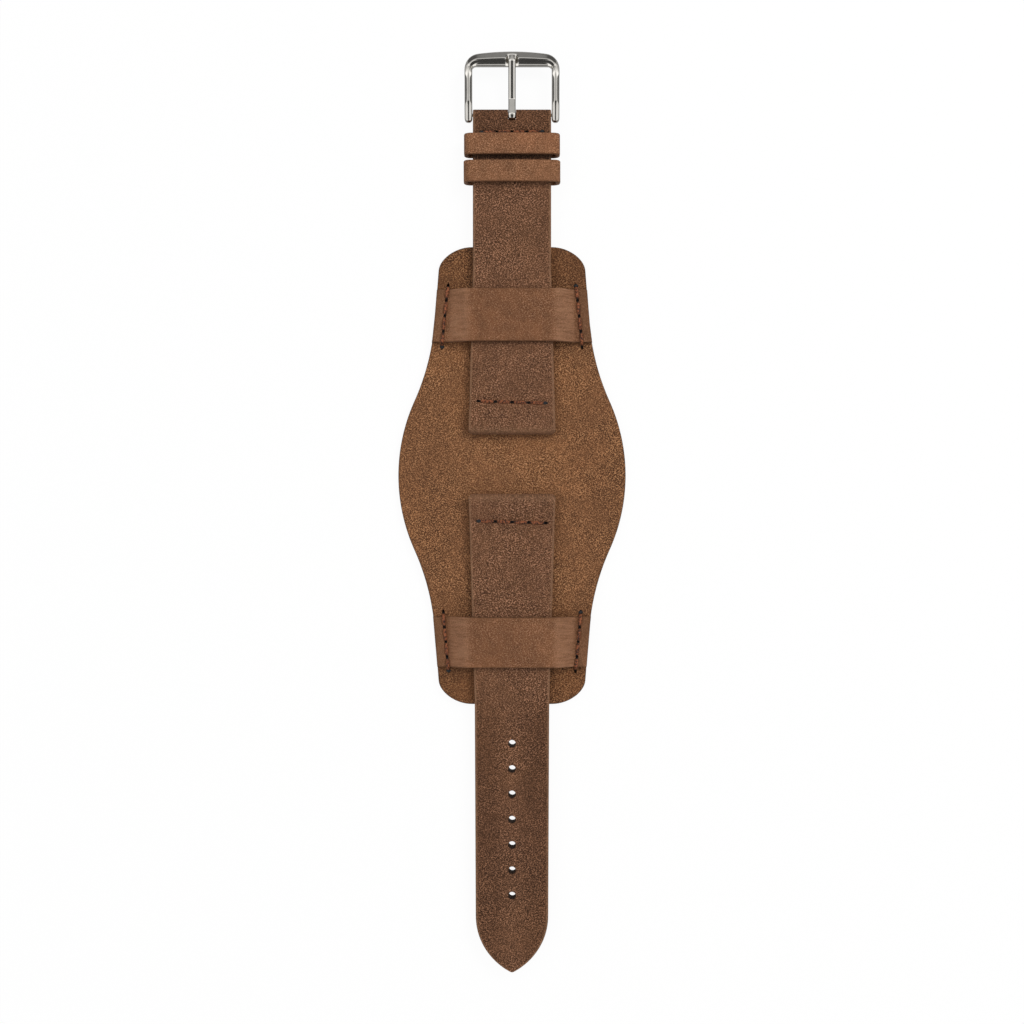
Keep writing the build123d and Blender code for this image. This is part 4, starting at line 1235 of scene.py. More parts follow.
def make_leather(name, body, valley, ridge_and_highlight, warm, edge, grain, depth, patches):
    """Waxed pull-up cowhide: a fine grain of dark pits in a web of light, rubbed ridges.

    Its warm, lighter patches, where wax has moved, lie at random. Over this lie a painted highlight on the
    bridges' slopes and, in part, along the straps' edges, and a painted shade in holes and by the fixed
    keeper. The wax is matt in the pits and a little brighter on the ridges, so the eye sees soft, dry
    highlights."""
    material, tree, shader, places = start_material(name)
    # The grain lies flat on top of the hide, and upright sides take it from their height.
    parts = add_node(tree, "ShaderNodeSeparateXYZ", {0: places})
    normal = add_node(tree, "ShaderNodeTexCoord").outputs["Normal"]
    facing = add_node(tree, "ShaderNodeSeparateXYZ", {0: normal})
    laid = []
    for axis in ("X", "Y"):
        turned = add_node(tree, "ShaderNodeMath", {0: facing.outputs[axis]}, operation="ABSOLUTE")
        upright = add_node(tree, "ShaderNodeMath", {0: turned, 1: 0.6}, operation="GREATER_THAN")
        inputs = {0: parts.outputs["Z"], 1: upright, 2: parts.outputs[axis]}
        laid.append(add_node(tree, "ShaderNodeMath", inputs, operation="MULTIPLY_ADD"))
    flat = add_node(tree, "ShaderNodeCombineXYZ", {0: laid[0], 1: laid[1]})
    # The pores: cells in drifting, slanted rows
    inputs = {"Vector": flat, "Scale": 1 / grain_drift_size, "Detail": 2.0}
    drift = add_node(tree, "ShaderNodeTexNoise", inputs).outputs["Color"]
    drift = add_node(tree, "ShaderNodeVectorMath", {0: drift, "Scale": grain_drift}, operation="SCALE")
    drifted = add_node(tree, "ShaderNodeVectorMath", {0: drift, 1: flat}, operation="ADD")
    wide, narrow = (1 / (stretch * grain) for stretch in grain_stretch)
    inputs = {
        "Vector": drifted,
        "Rotation": (0, 0, radians(grain_angle)),
        "Scale": (wide, narrow, 1 / grain),
    }
    turned = add_node(tree, "ShaderNodeMapping", inputs)
    inputs = {"Vector": turned, "Scale": 1.0, "Randomness": 1.0}
    cell = add_node(tree, "ShaderNodeTexVoronoi", inputs, feature="F1", voronoi_dimensions="2D")
    # Soft noises: each has its size in millimetres, its detail and its place in the noise.
    noises = {}
    for label, size, detail, seed in (
        ("fine", 0.7 * grain, 1.0, 2.0),
        ("vivid", 9, 2.0, 3.0),
        ("patch", 19, 2.0, 4.0),
        ("shade", 13, 3.0, 5.0),
        ("cloud", 2.2, 3.0, 6.0),
    ):
        inputs = {"Vector": places, "Scale": 1 / size, "Detail": detail, "W": seed}
        noises[label] = add_node(tree, "ShaderNodeTexNoise", inputs, noise_dimensions="4D")
    # Noises that are drawn out: along the cut edges, and across the strap for the painted highlight on the
    # bridges' slopes
    inputs = {"Vector": places, "Scale": (1 / 0.35, 1 / 4.0, 1 / 0.35)}
    stretched = add_node(tree, "ShaderNodeMapping", inputs)
    inputs = {"Vector": stretched, "Scale": 1.0, "Detail": 2.0, "W": 7.0}
    noises["drawn"] = add_node(tree, "ShaderNodeTexNoise", inputs, noise_dimensions="4D")
    inputs = {"Vector": places, "Scale": (1 / 4.0, 1 / 0.4, 1 / 4.0)}
    stretched = add_node(tree, "ShaderNodeMapping", inputs)
    inputs = {"Vector": stretched, "Scale": 1.0, "Detail": 2.0}
    noises["streak"] = add_node(tree, "ShaderNodeTexNoise", inputs)
    inputs = {0: noises["fine"], 1: 1.1, 2: cell}
    rugged = add_node(tree, "ShaderNodeMath", inputs, operation="MULTIPLY_ADD")
    # Soft steps: each moves a source from the range low to high into the range bottom to top.
    steps = {}
    for label, source, low, high, bottom, top in (
        ("pit", rugged, 0.6, 1.05, 1.0, 0.0),
        ("web", rugged, 0.94, 1.34, 0.0, 1.0),
        ("vivid", noises["vivid"], 0.35, 0.65, 0.6, 1.0),
        ("patch", noises["patch"], 0.42, 0.66, 0.0, patches),
        ("shade", noises["shade"], 0.4, 0.7, 0.0, 0.3),
        ("fine", noises["fine"], 0.3, 0.7, 1 - 0.16 * depth, 1 + 0.16 * depth),
        ("cloud", noises["cloud"], 0.3, 0.7, 0.89, 1.11),
        ("drawn", noises["drawn"], 0.25, 0.65, 0.45, 1.0),
        ("streak", noises["streak"], 0.3, 0.7, 0.3, 1.0),
    ):
        inputs = {0: source, 1: low, 2: high, 3: bottom, 4: top}
        steps[label] = add_node(tree, "ShaderNodeMapRange", inputs, interpolation_type="SMOOTHSTEP")
    painted = {}
    for label in ("deep", "rim", "slope", "painted_shade"):
        painted[label] = add_node(tree, "ShaderNodeAttribute", attribute_name=label).outputs["Fac"]
    shares = {}
    for label, first, second in (
        ("pit", steps["pit"], steps["vivid"]),
        ("web", steps["web"], steps["vivid"]),
        ("speck", steps["fine"], steps["cloud"]),
        ("rim", painted["rim"], steps["drawn"]),
        ("slope", painted["slope"], steps["streak"]),
        ("painted_shade", painted["painted_shade"], 0.94),
    ):
        shares[label] = add_node(tree, "ShaderNodeMath", {0: first, 1: second}, operation="MULTIPLY")
    pit_tone, web_tone, slope_highlight_tone = (
        add_node(tree, "ShaderNodeMath", {0: shares[label], 1: share}, operation="MULTIPLY")
        for label, share in (("pit", depth), ("web", depth), ("slope", 0.6))
    )
    # The hide's own tones, then what lies over them: darker ends, the cut edges, a painted highlight on the
    # bridges' slopes and a painted shade in holes and by the fixed keeper
    tone = colour(body)
    for share, code in (
        (steps["patch"], warm),
        (steps["shade"], valley),
        (pit_tone, valley),
        (web_tone, ridge_and_highlight),
    ):
        inputs = {0: share, 6: tone, 7: colour(code)}
        tone = add_node(tree, "ShaderNodeMix", inputs, data_type="RGBA").outputs[2]
    tone = add_node(tree, "ShaderNodeHueSaturation", {"Color": tone, "Value": shares["speck"]}).outputs[0]
    for share, code, mode in (
        (painted["deep"], deep_tint, "MULTIPLY"),
        (shares["rim"], edge, "MIX"),
        (slope_highlight_tone, ridge_and_highlight, "MIX"),
        (shares["painted_shade"], painted_hole_shade, "MIX"),
    ):
        inputs = {0: share, 6: tone, 7: colour(code)}
        tone = add_node(tree, "ShaderNodeMix", inputs, data_type="RGBA", blend_type=mode).outputs[2]
    tree.links.new(tone, shader.inputs["Base Color"])
    inputs = {0: shares["web"], 1: 0.0, 2: 1.0, 3: 0.76, 4: 0.62}
    rough = add_node(tree, "ShaderNodeMapRange", inputs, interpolation_type="SMOOTHSTEP")
    tree.links.new(rough.outputs[0], shader.inputs["Roughness"])
    shader.inputs["IOR"].default_value = 1.46
    shader.inputs["Specular IOR Level"].default_value = 0.25
    raised = add_node(tree, "ShaderNodeMath", {0: noises["fine"], 1: 0.4}, operation="MULTIPLY")
    inputs = {0: shares["pit"], 1: -1.0, 2: raised}
    relief = add_node(tree, "ShaderNodeMath", inputs, operation="MULTIPLY_ADD")
    inputs = {"Strength": 0.85 * depth, "Distance": grain_relief * MM, "Height": relief}
    bump = add_node(tree, "ShaderNodeBump", inputs)
    tree.links.new(bump.outputs[0], shader.inputs["Normal"])
    return material


def make_thread():
    """Waxed polyester thread: matt rust-brown plies, with a painted shade, near black, where they dive into
    a hole.

    Its ends are cut off and melted, which leaves hard black beads. The fibres' flecks are drawn
    half a millimetre wide, much coarser than a fibre, so that they show."""
    material, tree, shader, places = start_material("waxed_thread")
    inputs = {"Vector": places, "Scale": 1 / 0.5, "Detail": 2.0, "W": 1.0}
    fuzz = add_node(tree, "ShaderNodeTexNoise", inputs, noise_dimensions="4D")
    dive = add_node(tree, "ShaderNodeAttribute", attribute_name="dive").outputs["Fac"]
    burnt = add_node(tree, "ShaderNodeAttribute", attribute_name="burnt").outputs["Fac"]
    flecks, diving_shade = (
        add_node(
            tree, "ShaderNodeMapRange", {0: source, 1: low, 2: high}, interpolation_type="SMOOTHSTEP"
        )
        for source, low, high in ((fuzz, 0.38, 0.6), (dive, 0.12, 0.3))
    )
    tone = colour("341C0F")
    for share, code in ((flecks, "975836"), (diving_shade, painted_hole_shade), (burnt, "1C1E20")):
        inputs = {0: share, 6: tone, 7: colour(code)}
        tone = add_node(tree, "ShaderNodeMix", inputs, data_type="RGBA").outputs[2]
    tree.links.new(tone, shader.inputs["Base Color"])
    shader.inputs["Roughness"].default_value = 0.7
    shader.inputs["IOR"].default_value = 1.5
    inputs = {"Strength": 0.5, "Distance": 0.04 * MM, "Height": fuzz}
    bump = add_node(tree, "ShaderNodeBump", inputs)
    tree.links.new(bump.outputs[0], shader.inputs["Normal"])
    return material


def make_steel(name, body, roughness, wear):
    """Stainless steel: polished to a mirror on the buckle, drawn and dull on the spring bar.

    A faint haze greys it where it was touched. The lines that the polishing wheel or the die left
    are 0.09 mm apart, coarser than real ones, so that they break the mirror enough to show."""
    material, tree, shader, places = start_material(name)
    shader.inputs["Metallic"].default_value = 1.0
    inputs = {"Vector": places, "Scale": 1 / 1.4, "Detail": 3.0, "W": 1.0}
    haze = add_node(tree, "ShaderNodeTexNoise", inputs, noise_dimensions="4D")
    inputs = {"Vector": places, "Scale": (1 / 3.0, 1 / 0.09, 1 / 0.09)}
    drawn = add_node(tree, "ShaderNodeMapping", inputs)
    inputs = {"Vector": drawn, "Scale": 1.0, "Detail": 2.0}
    lines = add_node(tree, "ShaderNodeTexNoise", inputs)
    inputs = {0: haze, 1: 0.3, 2: 0.7, 3: 0.0, 4: 0.25}
    touched = add_node(tree, "ShaderNodeMapRange", inputs, interpolation_type="SMOOTHSTEP")
    inputs = {0: touched, 6: colour(body), 7: colour("A8A49C")}
    tone = add_node(tree, "ShaderNodeMix", inputs, data_type="RGBA")
    tree.links.new(tone.outputs[2], shader.inputs["Base Color"])
    inputs = {0: lines, 1: 0.3, 2: 0.7, 3: roughness, 4: roughness + wear}
    rough = add_node(tree, "ShaderNodeMapRange", inputs, interpolation_type="SMOOTHSTEP")
    tree.links.new(rough.outputs[0], shader.inputs["Roughness"])
    inputs = {"Strength": 0.06, "Distance": 0.01 * MM, "Height": lines}
    bump = add_node(tree, "ShaderNodeBump", inputs)
    tree.links.new(bump.outputs[0], shader.inputs["Normal"])
    return material


# Each hide: its body, pits, rubbed ridges, warm patches and cut edges, the width of its pores, the
# depth of its grain and how far its patches go
pad_hide = make_leather(
    "pad_cowhide", "7E5436", "452A19", "AE7E56", "96643F", "4A3223", pad_grain, 1.0, 0.75
)
# The straps' lighter cut-edge colour is partly rubbed wear and partly a painted highlight on their rounded
# edges and folds.
strap_hide = make_leather(
    "strap_cowhide", "6C4932", "3B2517", "9D7156", "7B5437", "8F6B50", strap_grain, 1.0, 0.4
)
# The strips' ridge colour also paints the highlight on their slopes.
strip_hide = make_leather(
    "strip_cowhide", "764E33", "4D301E", "A2775A", "875B3D", "63462F", strip_grain, 0.6, 0.5
)
keeper_hide = make_leather(
    "keeper_cowhide", "865B3E", "543420", "AE8160", "935F40", "63462F", keeper_grain, 0.7, 0.5
)
lining_hide = make_leather(
    "lining_calf", "8C6A4F", "6B4E39", "A98567", "94704F", "59402F", lining_grain, 0.4, 0.2
)
waxed_thread = make_thread()
mirror_steel = make_steel("polished_stainless", "CBC8C2", 0.07, 0.04)
bar_steel = make_steel("drawn_stainless", "B8B5AF", 0.28, 0.12)
punch, stitches = punch_tree(), stitch_tree()


def punch_row(piece, holes, width, depth, material, stretch=needle_stretch, flare=1.0, lean=(0, 0)):
    """Punch a straight row of needle or strap holes whose floor is depth under their places.

    Their lower ends lean away in X and Y by so much for each millimetre of depth."""
    down = Vector((-lean[0] * depth, -lean[1] * depth, depth))
    run_tree(
        piece,
        punch,
        first_hole=tuple((holes[0] - down) * MM),
        last_hole=tuple((holes[-1] - down) * MM),
        count=len(holes),
        upper_radius=width / 2 * flare * MM,
        lower_radius=width / 2 * MM,
        depth=(depth + awl_overrun) * MM,
        stretch=(stretch, 1, 1),
        tilt=(lean[1], -lean[0], 0),
        material=material,
    )


def hole_shade_rule(holes, surface):
    """A rule for the painted shade inside the needle holes: 1 under the surface there, and 0 elsewhere."""

    def rule(place):
        near = min(hypot(place.x - hole.x, place.y - hole.y) for hole in holes)
        deep = ease(surface(place) - place.z, *hole_dark_depths)
        return deep if near < 0.6 * needle_stretch * needle_hole else 0

    return rule


# Pad
def pad_surface(x, y, height):
    """The pad's top with its slow unevenness."""
    if height < pad_high.z - 0.01:
        return height
    return height - pad_ripple * ripple(x, y, 1)


# The edges of the pad's two sheets: insets from the outline and heights, from the underside up
top_edge = [
    (0.14, pad_low.z + 0.02), (0.03, pad_low.z + 0.12), (0.0, pad_low.z + 0.3), (0.0, pad_high.z - 0.55),
    (0.04, pad_high.z - 0.34), (0.13, pad_high.z - 0.17), (0.28, pad_high.z - 0.05), (0.5, pad_high.z),
    (0.95, pad_high.z), (1.7, pad_high.z), (2.8, pad_high.z),
]
lining_sheet_edge = [
    (0.4, 0), (0.16, 0.04), (0.04, 0.14), (0.0, 0.3), (0.0, 0.66), (0.03, 0.8), (0.14, pad_low.z - 0.02),
]
pad_piece = make_sheet("pad_top_leather", top_edge, pad_surface)
pad_holes = []
for name in bridges:
    for side in (-1, 1):
        holes = bridge_holes(name, side)
        outer = [Vector((*hole, pad_high.z)) for hole in (holes[0], holes[-1])]
        pad_holes += outer
        punch_row(pad_piece, outer, needle_hole, needle_depth, pad_hide)
tidy_mesh(pad_piece)


def pad_rim(place):
    """The pad's burnished side, fading over the rounding into its top."""
    return 0.75 * (1 - ease(place.z, pad_high.z - 0.3, pad_high.z - 0.02))


def pad_deep(place):
    """The darker ends and sides of the pad."""
    return 0.75 * ease(abs(place.y), 28, 52) + 0.25 * ease(abs(place.x), 8, 20)


paint(pad_piece, "rim", pad_rim)
paint(pad_piece, "deep", pad_deep)
paint(pad_piece, "painted_shade", hole_shade_rule(pad_holes, lambda place: pad_high.z - 0.05))
dress(pad_piece, pad_hide, "pad", "pad_leather")
pad_under = make_sheet("pad_lining_leather", lining_sheet_edge, lambda x, y, height: height)
paint(pad_under, "rim", lambda place: 0.85 * ease(place.z, 0.02, 0.2))
dress(pad_under, lining_hide, "pad", "pad_lining")


# Bridges and their stitches
def strip_rim_rule(low, high):
    """A rule for a bridge's cut edges, a little darker and burnished."""

    def rule(place):
        edge = min(place.y - low.y, high.y - place.y)
        side = pad_half_width(abs(place.y)) - abs(place.x)
        return 0.8 * (1 - ease(edge, 0.05, 0.3)) + 0.45 * (1 - ease(side, 1.5, 2.7)) * ease(edge, 0.05, 0.3)

    return rule


def strip_slope_highlight(place):
    """Painted highlight on the bridge's slopes beside the strap, where they turn towards the light."""
    across = abs(place.x)
    roof, foot = bridge_roof_width / 2, bridge_foot_width / 2
    return ease(across, roof - 1.7, roof + 0.7) * (1 - ease(across, foot - 0.5, foot + 0.4))


foot_top = pad_high.z + bridge_leather
for name, ((low, high), _) in bridges.items():
    strip = make_bridge(name)
    inner_holes = []
    for side in (-1, 1):
        holes = [Vector((*hole, foot_top)) for hole in bridge_holes(name, side)[1:-1]]
        inner_holes += holes
        punch_row(strip, holes, needle_hole, needle_depth, strip_hide)
    tidy_mesh(strip)
    paint(strip, "rim", strip_rim_rule(low, high))
    paint(strip, "slope", strip_slope_highlight)
    paint(strip, "painted_shade", hole_shade_rule(inner_holes, lambda place: foot_top - 0.3))
    dress(strip, strip_hide, "pad", f"{name}_bridge")
    for side, word in ((-1, "left"), (1, "right")):
        flat_holes = bridge_holes(name, side)
        on_pad = [Vector((*hole, pad_high.z)) for hole in flat_holes]
        on_strip = [Vector((*hole, foot_top)) for hole in flat_holes[1:-1]]
        edge_share = bridge_row_outside / (on_pad[1] - on_pad[0]).length
        spines = [edge_spine(on_pad[0], on_pad[1], bridge_leather, edge_share)]
        spines += [stitch_spine(a, b, 1, *bridge_stitch) for a, b in zip(on_strip, on_strip[1:])]
        spines.append(edge_spine(on_pad[-1], on_pad[-2], bridge_leather, edge_share))
        # The thread is melted off near the pad's middle on one side and near its end on the other.
        knot = on_pad[0] if (name == "lower") == (side == 1) else on_pad[-1]
        lowered_knot = knot - Vector((0, 0, knot_sink))
        sew(f"{name}_bridge_stitches_{word}", spines, [lowered_knot], "pad", f"{name}_bridge_thread_{word}")

# Straps
tail_under = spread(lug_flap_length, tail_tip[0], fold_step) + tail_tip
buckle_under = spread(lug_flap_length, buckle_length - bar_flap_length, strap_step)
buckle_piece, tail_piece, buckle_lining, tail_lining = (
    cross_profile(name, profile, plan, edge, relief)
    for name, profile, plan, edge, relief in (
        ("buckle_strap_hide", buckle_profile(), buckle_plan, cut_edge, strap_relief),
        ("tail_strap_hide", tail_profile(), tail_plan, cut_edge, strap_relief),
        ("buckle_strap_under_leather", lining_profile(buckle_under), buckle_plan, lining_edge, no_relief),
        ("tail_strap_under_leather", lining_profile(tail_under), tail_plan, lining_edge, no_relief),
    )
)
# The tongue's slot goes right through at the bar, and behind it leaves the lower flap whole.
slot_half = tongue_width / 2 + tongue_slot_clearance
for slot_end, slot_floor, rounding in (
    (bar_y - tongue_curl_radius + 0.1, strap_bottom - cut_overrun, tongue_slot_bar_corner),
    (buckle_high.y - tongue_slot_depth, strap_bottom + bar_fold, tongue_slot_corner),
):
    slot_low = Vector((-slot_half, slot_end, slot_floor))
    slot_high = Vector((slot_half, buckle_high.y + cut_overrun, strap_top + cut_overrun))
    cut_box(buckle_piece, slot_low, slot_high, rounding)
strap_holes = [
    Vector((0, tail_low.y + tail_last_hole + step * tail_hole_spacing, strap_top))
    for step in range(tail_hole_count)
]
for piece, hide, depth, flare, lean in (
    (tail_piece, strap_hide, tail_hole_depth, 1.0, tail_hole_lean),
    (tail_lining, lining_hide, tail_hole_depth, 1.0, tail_hole_lean),
    (tail_piece, strap_hide, tail_hole_lip_depth, tail_hole_lip_flare, (0, 0)),
):
    punch_row(piece, strap_holes, tail_hole, depth, hide, 1.0, flare, lean)
needle_places = {"buckle_strap_hide": [], "tail_strap_hide": []}
for row_name, piece, body, node, nose, knot_sides in (
    (
        "upper lug",
        buckle_piece,
        "buckle_strap",
        "buckle_strap_lug_thread",
        (upper_lug_row, lug_nose_radius, lug_taper_angle),
        (1,),
    ),
    (
        "buckle",
        buckle_piece,
        "buckle_strap",
        "buckle_end_thread",
        (buckle_row, bar_nose_radius, bar_taper_angle),
        (-1, 1),
    ),
    (
        "lower lug",
        tail_piece,
        "tail_strap",
        "tail_strap_lug_thread",
        (lower_lug_row, lug_nose_radius, lug_taper_angle),
        (-1,),
    ),
):
    holes = row_holes(row_name, strap_bottom + slope_height(*nose))
    punch_row(piece, holes, needle_hole, needle_depth, strap_hide)
    needle_places[piece.name] += holes
    seats = [hole - Vector((0, 0, groove_depth + groove_seat)) for hole in holes]
    under_seats = [Vector((hole.x, hole.y, strap_bottom)) for hole in holes]
    spines = [stitch_spine(a, b, 1, *top_stitch) for a, b in zip(seats, seats[1:])]
    spines += [stitch_spine(a, b, -1, *under_stitch) for a, b in zip(under_seats, under_seats[1:])]
    knots = [seats[0 if side < 0 else -1] for side in knot_sides]
    sew(f"{node}_stitches", spines, knots, body, node)


def strap_rim_wear_and_highlight_rule(plan):
    """A rule for the lighter line along a strap's cut edges and over its folded end: partly rubbed wear,
    partly a painted highlight on their rounding.
    """
    start, way, half_width = plan

    def rule(place):
        distance = way * (place.y - start)
        gap = half_width(max(distance, 0)) - abs(place.x)
        line = (1 - ease(gap, 0.25, 0.62)) * 0.75
        fold = 0.45 * (1 - ease(distance, 0.5, 2.6))
        return max(line, fold)

    return rule


keeper_start = box_mm("fixed_keeper")[0].y


def tail_hole_shade(place):
    """Painted shade on the cut leather inside the tail's holes."""
    near = min(hypot(place.x - hole.x, place.y - hole.y) for hole in strap_holes)
    return 0.85 * ease(strap_top - place.z, *hole_dark_depths) * (1 if near < 0.9 * tail_hole else 0)


def strap_deep(place):
    """The darker ends of both straps; the tail is rubbed lighter along its holes."""
    if place.y > 0:
        return 0.9 * ease(place.y, keeper_start - 3, keeper_start)
    rubbed = 0.6 * exp(-((place.x / 3.4) ** 2))
    return (0.85 - rubbed) * ease(-place.y, 52, 64)


def strap_shade_rule(holes):
    """A rule for the painted shade in a strap's holes, and for a painted shadow along the fixed keeper's
    lower edge.
    """
    row_tops = {hole.y: hole.z for hole in holes}

    def row_surface(place):
        nearest = min(row_tops, key=lambda y: abs(y - place.y))
        return row_tops[nearest] - 0.3

    in_needle_holes = hole_shade_rule(holes, row_surface)

    def rule(place):
        # Painted shadow along the fixed keeper's lower edge, where it meets the gap to the free keeper
        below = ease(place.y, keeper_start - 1.9, keeper_start - 1.1)
        keeper_gap_shade = below * (1 - ease(place.y, keeper_start + 1, keeper_start + 2))
        return max(in_needle_holes(place), 0.5 * keeper_gap_shade, tail_hole_shade(place))

    return rule


for piece, plan, body, node in (
    (buckle_piece, buckle_plan, "buckle_strap", "buckle_strap_leather"),
    (tail_piece, tail_plan, "tail_strap", "tail_strap_leather"),
):
    tidy_mesh(piece)
    paint(piece, "rim", strap_rim_wear_and_highlight_rule(plan))
    paint(piece, "deep", strap_deep)
    paint(piece, "painted_shade", strap_shade_rule(needle_places[piece.name]))
    dress(piece, strap_hide, body, node)
for piece, body, node in (
    (buckle_lining, "buckle_strap", "buckle_strap_lining"),
    (tail_lining, "tail_strap", "tail_strap_lining"),
):
    tidy_mesh(piece)
    paint(piece, "painted_shade", tail_hole_shade)
    dress(piece, lining_hide, body, node)


# Keepers
def keeper_rim_rule(low, high):
    """A rule for a keeper's burnished cut edges."""

    def rule(place):
        return 0.55 * (1 - ease(min(place.y - low.y, high.y - place.y), 0.03, 0.3))

    return rule


for name, node, body, seed in (
    ("fixed_keeper_loop", "fixed_keeper", "buckle_strap", 0),
    ("free_keeper_loop", "free_keeper", "free_keeper", 1),
):
    loop = make_keeper_loop(name, node, seed)
    paint(loop, "rim", keeper_rim_rule(*box_mm(node)))
    dress(loop, keeper_hide, body, node)

# Buckle
dress(make_frame(), mirror_steel, "buckle_frame", "buckle_frame")
dress(make_tongue(), mirror_steel, "buckle_tongue", "buckle_tongue")
for node in ("buckle_bar_tube", "buckle_bar_spring", "bar_tip_left", "bar_tip_right"):
    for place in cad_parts[node].material_slots:
        place.material = bar_steel

# Floor, light and camera
view_distance = 400.0
view_middle_y = -9.27
view_width = 261.6
sensor = 36.0
floor_reach = 1500.0
floor_drop = 0.05
# Light from below reaches leather that is nearer to the floor than this.
floor_gap = 5.0
# The floor's brightness in mirrors, what the camera sees on top of it, and how little of the
# camera's floor takes a shadow
floor_level = 0.46
floor_camera_level = 0.55
floor_bright_share = 0.93
key_place = (450.0, 450.0, 800.0)
key_size = 350.0
key_power = 2.5


def make_floor():
    """A plain white floor that keeps a faint shadow of the object and is clear from below.

    It is clear to short diffuse rays too, so that light from below reaches the leather's undersides."""
    half, level = floor_reach * MM, -floor_drop * MM
    mesh = bpy.data.meshes.new("floor")
    corners = [(-half, -half, level), (half, -half, level), (half, half, level), (-half, half, level)]
    mesh.from_pydata(corners, [], [(0, 1, 2, 3)])
    floor = add_object("floor", mesh)
    material = bpy.data.materials.new("white_floor")
    material.use_nodes = True
    tree = material.node_tree
    tree.nodes.clear()
    matt = add_node(tree, "ShaderNodeBsdfDiffuse", {"Color": (0.85, 0.85, 0.85, 1)})
    ray = add_node(tree, "ShaderNodeLightPath").outputs
    # The camera and the steel see a bright floor, a little darker where it is shaded.
    inputs = {0: ray["Is Camera Ray"], 1: floor_camera_level, 2: floor_level}
    strength = add_node(tree, "ShaderNodeMath", inputs, operation="MULTIPLY_ADD")
    bright = add_node(tree, "ShaderNodeEmission", {"Color": (1, 1, 1, 1), "Strength": strength})
    inputs = {0: ray["Is Camera Ray"], 1: floor_bright_share, 2: ray["Is Glossy Ray"]}
    seen = add_node(tree, "ShaderNodeMath", inputs, operation="MULTIPLY_ADD")
    inputs = {0: seen, 1: ray["Is Transmission Ray"]}
    seen = add_node(tree, "ShaderNodeMath", inputs, operation="ADD", use_clamp=True)
    lit = add_node(tree, "ShaderNodeMixShader", {0: seen, 1: matt, 2: bright})
    # It is clear from behind and to short diffuse rays.
    inputs = {0: ray["Ray Length"], 1: floor_gap * MM, 2: (floor_gap + 1) * MM, 3: 1.0, 4: 0.0}
    near = add_node(tree, "ShaderNodeMapRange", inputs, interpolation_type="SMOOTHSTEP")
    near = add_node(tree, "ShaderNodeMath", {0: near, 1: ray["Is Diffuse Ray"]}, operation="MULTIPLY")
    behind = add_node(tree, "ShaderNodeNewGeometry").outputs["Backfacing"]
    hidden = add_node(tree, "ShaderNodeMath", {0: behind, 1: near}, operation="MAXIMUM")
    clear = add_node(tree, "ShaderNodeBsdfTransparent")
    sided = add_node(tree, "ShaderNodeMixShader", {0: hidden, 1: lit, 2: clear})
    output = add_node(tree, "ShaderNodeOutputMaterial")
    tree.links.new(sided.outputs[0], output.inputs["Surface"])
    mesh.materials.append(material)


bank_level = 1.65
ceiling_level = 0.63
window_level = 0.5
below_level = 0.8
studio_level = 0.07


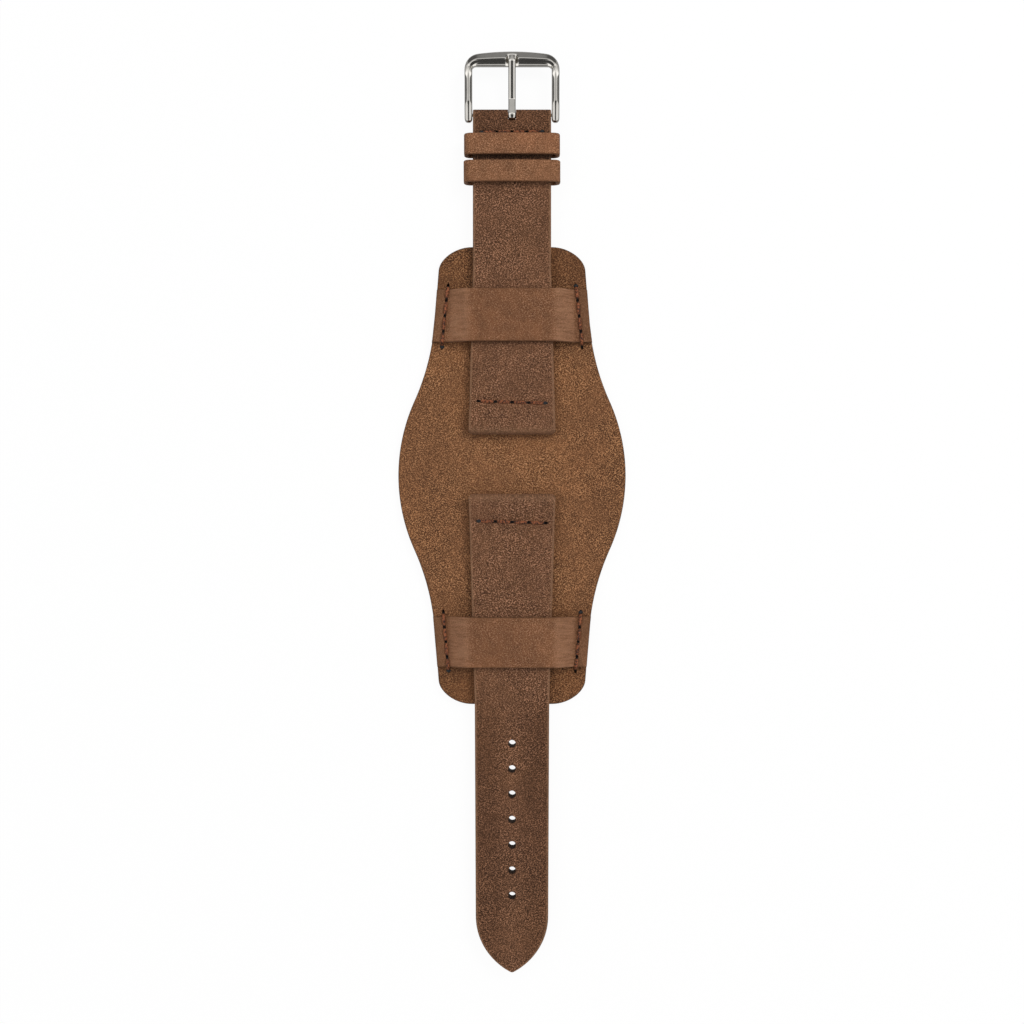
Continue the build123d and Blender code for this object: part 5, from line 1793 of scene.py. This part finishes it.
def make_studio():
    """Two long soft banks left and right of the object under a dim ceiling.

    Directions are counted as degrees from straight above, across the strap and along it. The
    strip between the banks is dark over the camera and towards the tail, and grey towards the
    buckle, so that the steel shows thin lines between bright and dark bands."""
    world = bpy.data.worlds.new("studio")
    bpy.context.scene.world = world
    world.use_nodes = True
    tree = world.node_tree
    tree.nodes.clear()
    ray = add_node(tree, "ShaderNodeTexCoord").outputs["Generated"]
    parts = add_node(tree, "ShaderNodeSeparateXYZ", {0: ray}).outputs
    angles = []
    for axis in ("X", "Y"):
        angle = add_node(tree, "ShaderNodeMath", {0: parts[axis], 1: parts["Z"]}, operation="ARCTAN2")
        angles.append(add_node(tree, "ShaderNodeMath", {0: angle, 1: 180 / pi}, operation="MULTIPLY"))
    across = add_node(tree, "ShaderNodeMath", {0: angles[0]}, operation="ABSOLUTE")
    along, height = angles[1], parts["Z"]
    # Each light is the product of soft steps: where one starts and ends, and its levels there.
    banks = (
        (across, 7, 12, 0, 1),
        (across, 50, 58, 1, 0),
        (along, 27, 35, 1, 0),
        (along, -72, -55, 0, bank_level - ceiling_level),
    )
    ceiling = ((along, 4, 7, 0, 1), (along, 55, 80, ceiling_level, 0.25), (across, 50, 70, 1, 0.2))
    window = ((along, 21, 27, 0, 1), (along, 38, 46, window_level, 0), (across, 7, 12, 1, 0))
    below = ((height, -0.05, -0.02, below_level, 0),)
    level = studio_level
    for light in (banks, ceiling, window, below):
        part = 1.0
        for source, start, end, first, last in light:
            inputs = {0: source, 1: start, 2: end, 3: first, 4: last}
            step = add_node(tree, "ShaderNodeMapRange", inputs, interpolation_type="SMOOTHSTEP")
            part = add_node(tree, "ShaderNodeMath", {0: part, 1: step}, operation="MULTIPLY")
        level = add_node(tree, "ShaderNodeMath", {0: level, 1: part}, operation="ADD")
    light = add_node(tree, "ShaderNodeBackground", {"Color": (1, 1, 1, 1), "Strength": level})
    plain = add_node(tree, "ShaderNodeBackground", {"Color": (1, 1, 1, 1), "Strength": 1.0})
    seen = add_node(tree, "ShaderNodeLightPath").outputs["Is Camera Ray"]
    mixed = add_node(tree, "ShaderNodeMixShader", {0: seen, 1: light, 2: plain})
    output = add_node(tree, "ShaderNodeOutputWorld")
    tree.links.new(mixed.outputs[0], output.inputs["Surface"])


def make_lamp(name, place, size, power):
    """A soft square lamp that faces the object and stays out of the steel's reflections."""
    lamp = bpy.data.lights.new(name, "AREA")
    lamp.shape = "SQUARE"
    lamp.size = size
    lamp.energy = power
    holder = add_object(name, lamp)
    holder.location = place
    holder.rotation_mode = "QUATERNION"
    holder.rotation_quaternion = place.to_track_quat("Z", "Y")
    holder.visible_glossy = False


def make_camera():
    """The camera looks straight down on the middle of the whole strap."""
    camera = bpy.data.cameras.new("camera")
    camera.sensor_width = sensor
    camera.lens = sensor * view_distance / view_width
    holder = add_object("camera", camera)
    holder.location = (0, view_middle_y * MM, view_distance * MM)
    bpy.context.scene.camera = holder


make_floor()
make_studio()
make_lamp("key", Vector(key_place) * MM, key_size * MM, key_power)
make_camera()
bpy.context.scene.view_settings.view_transform = "Standard"
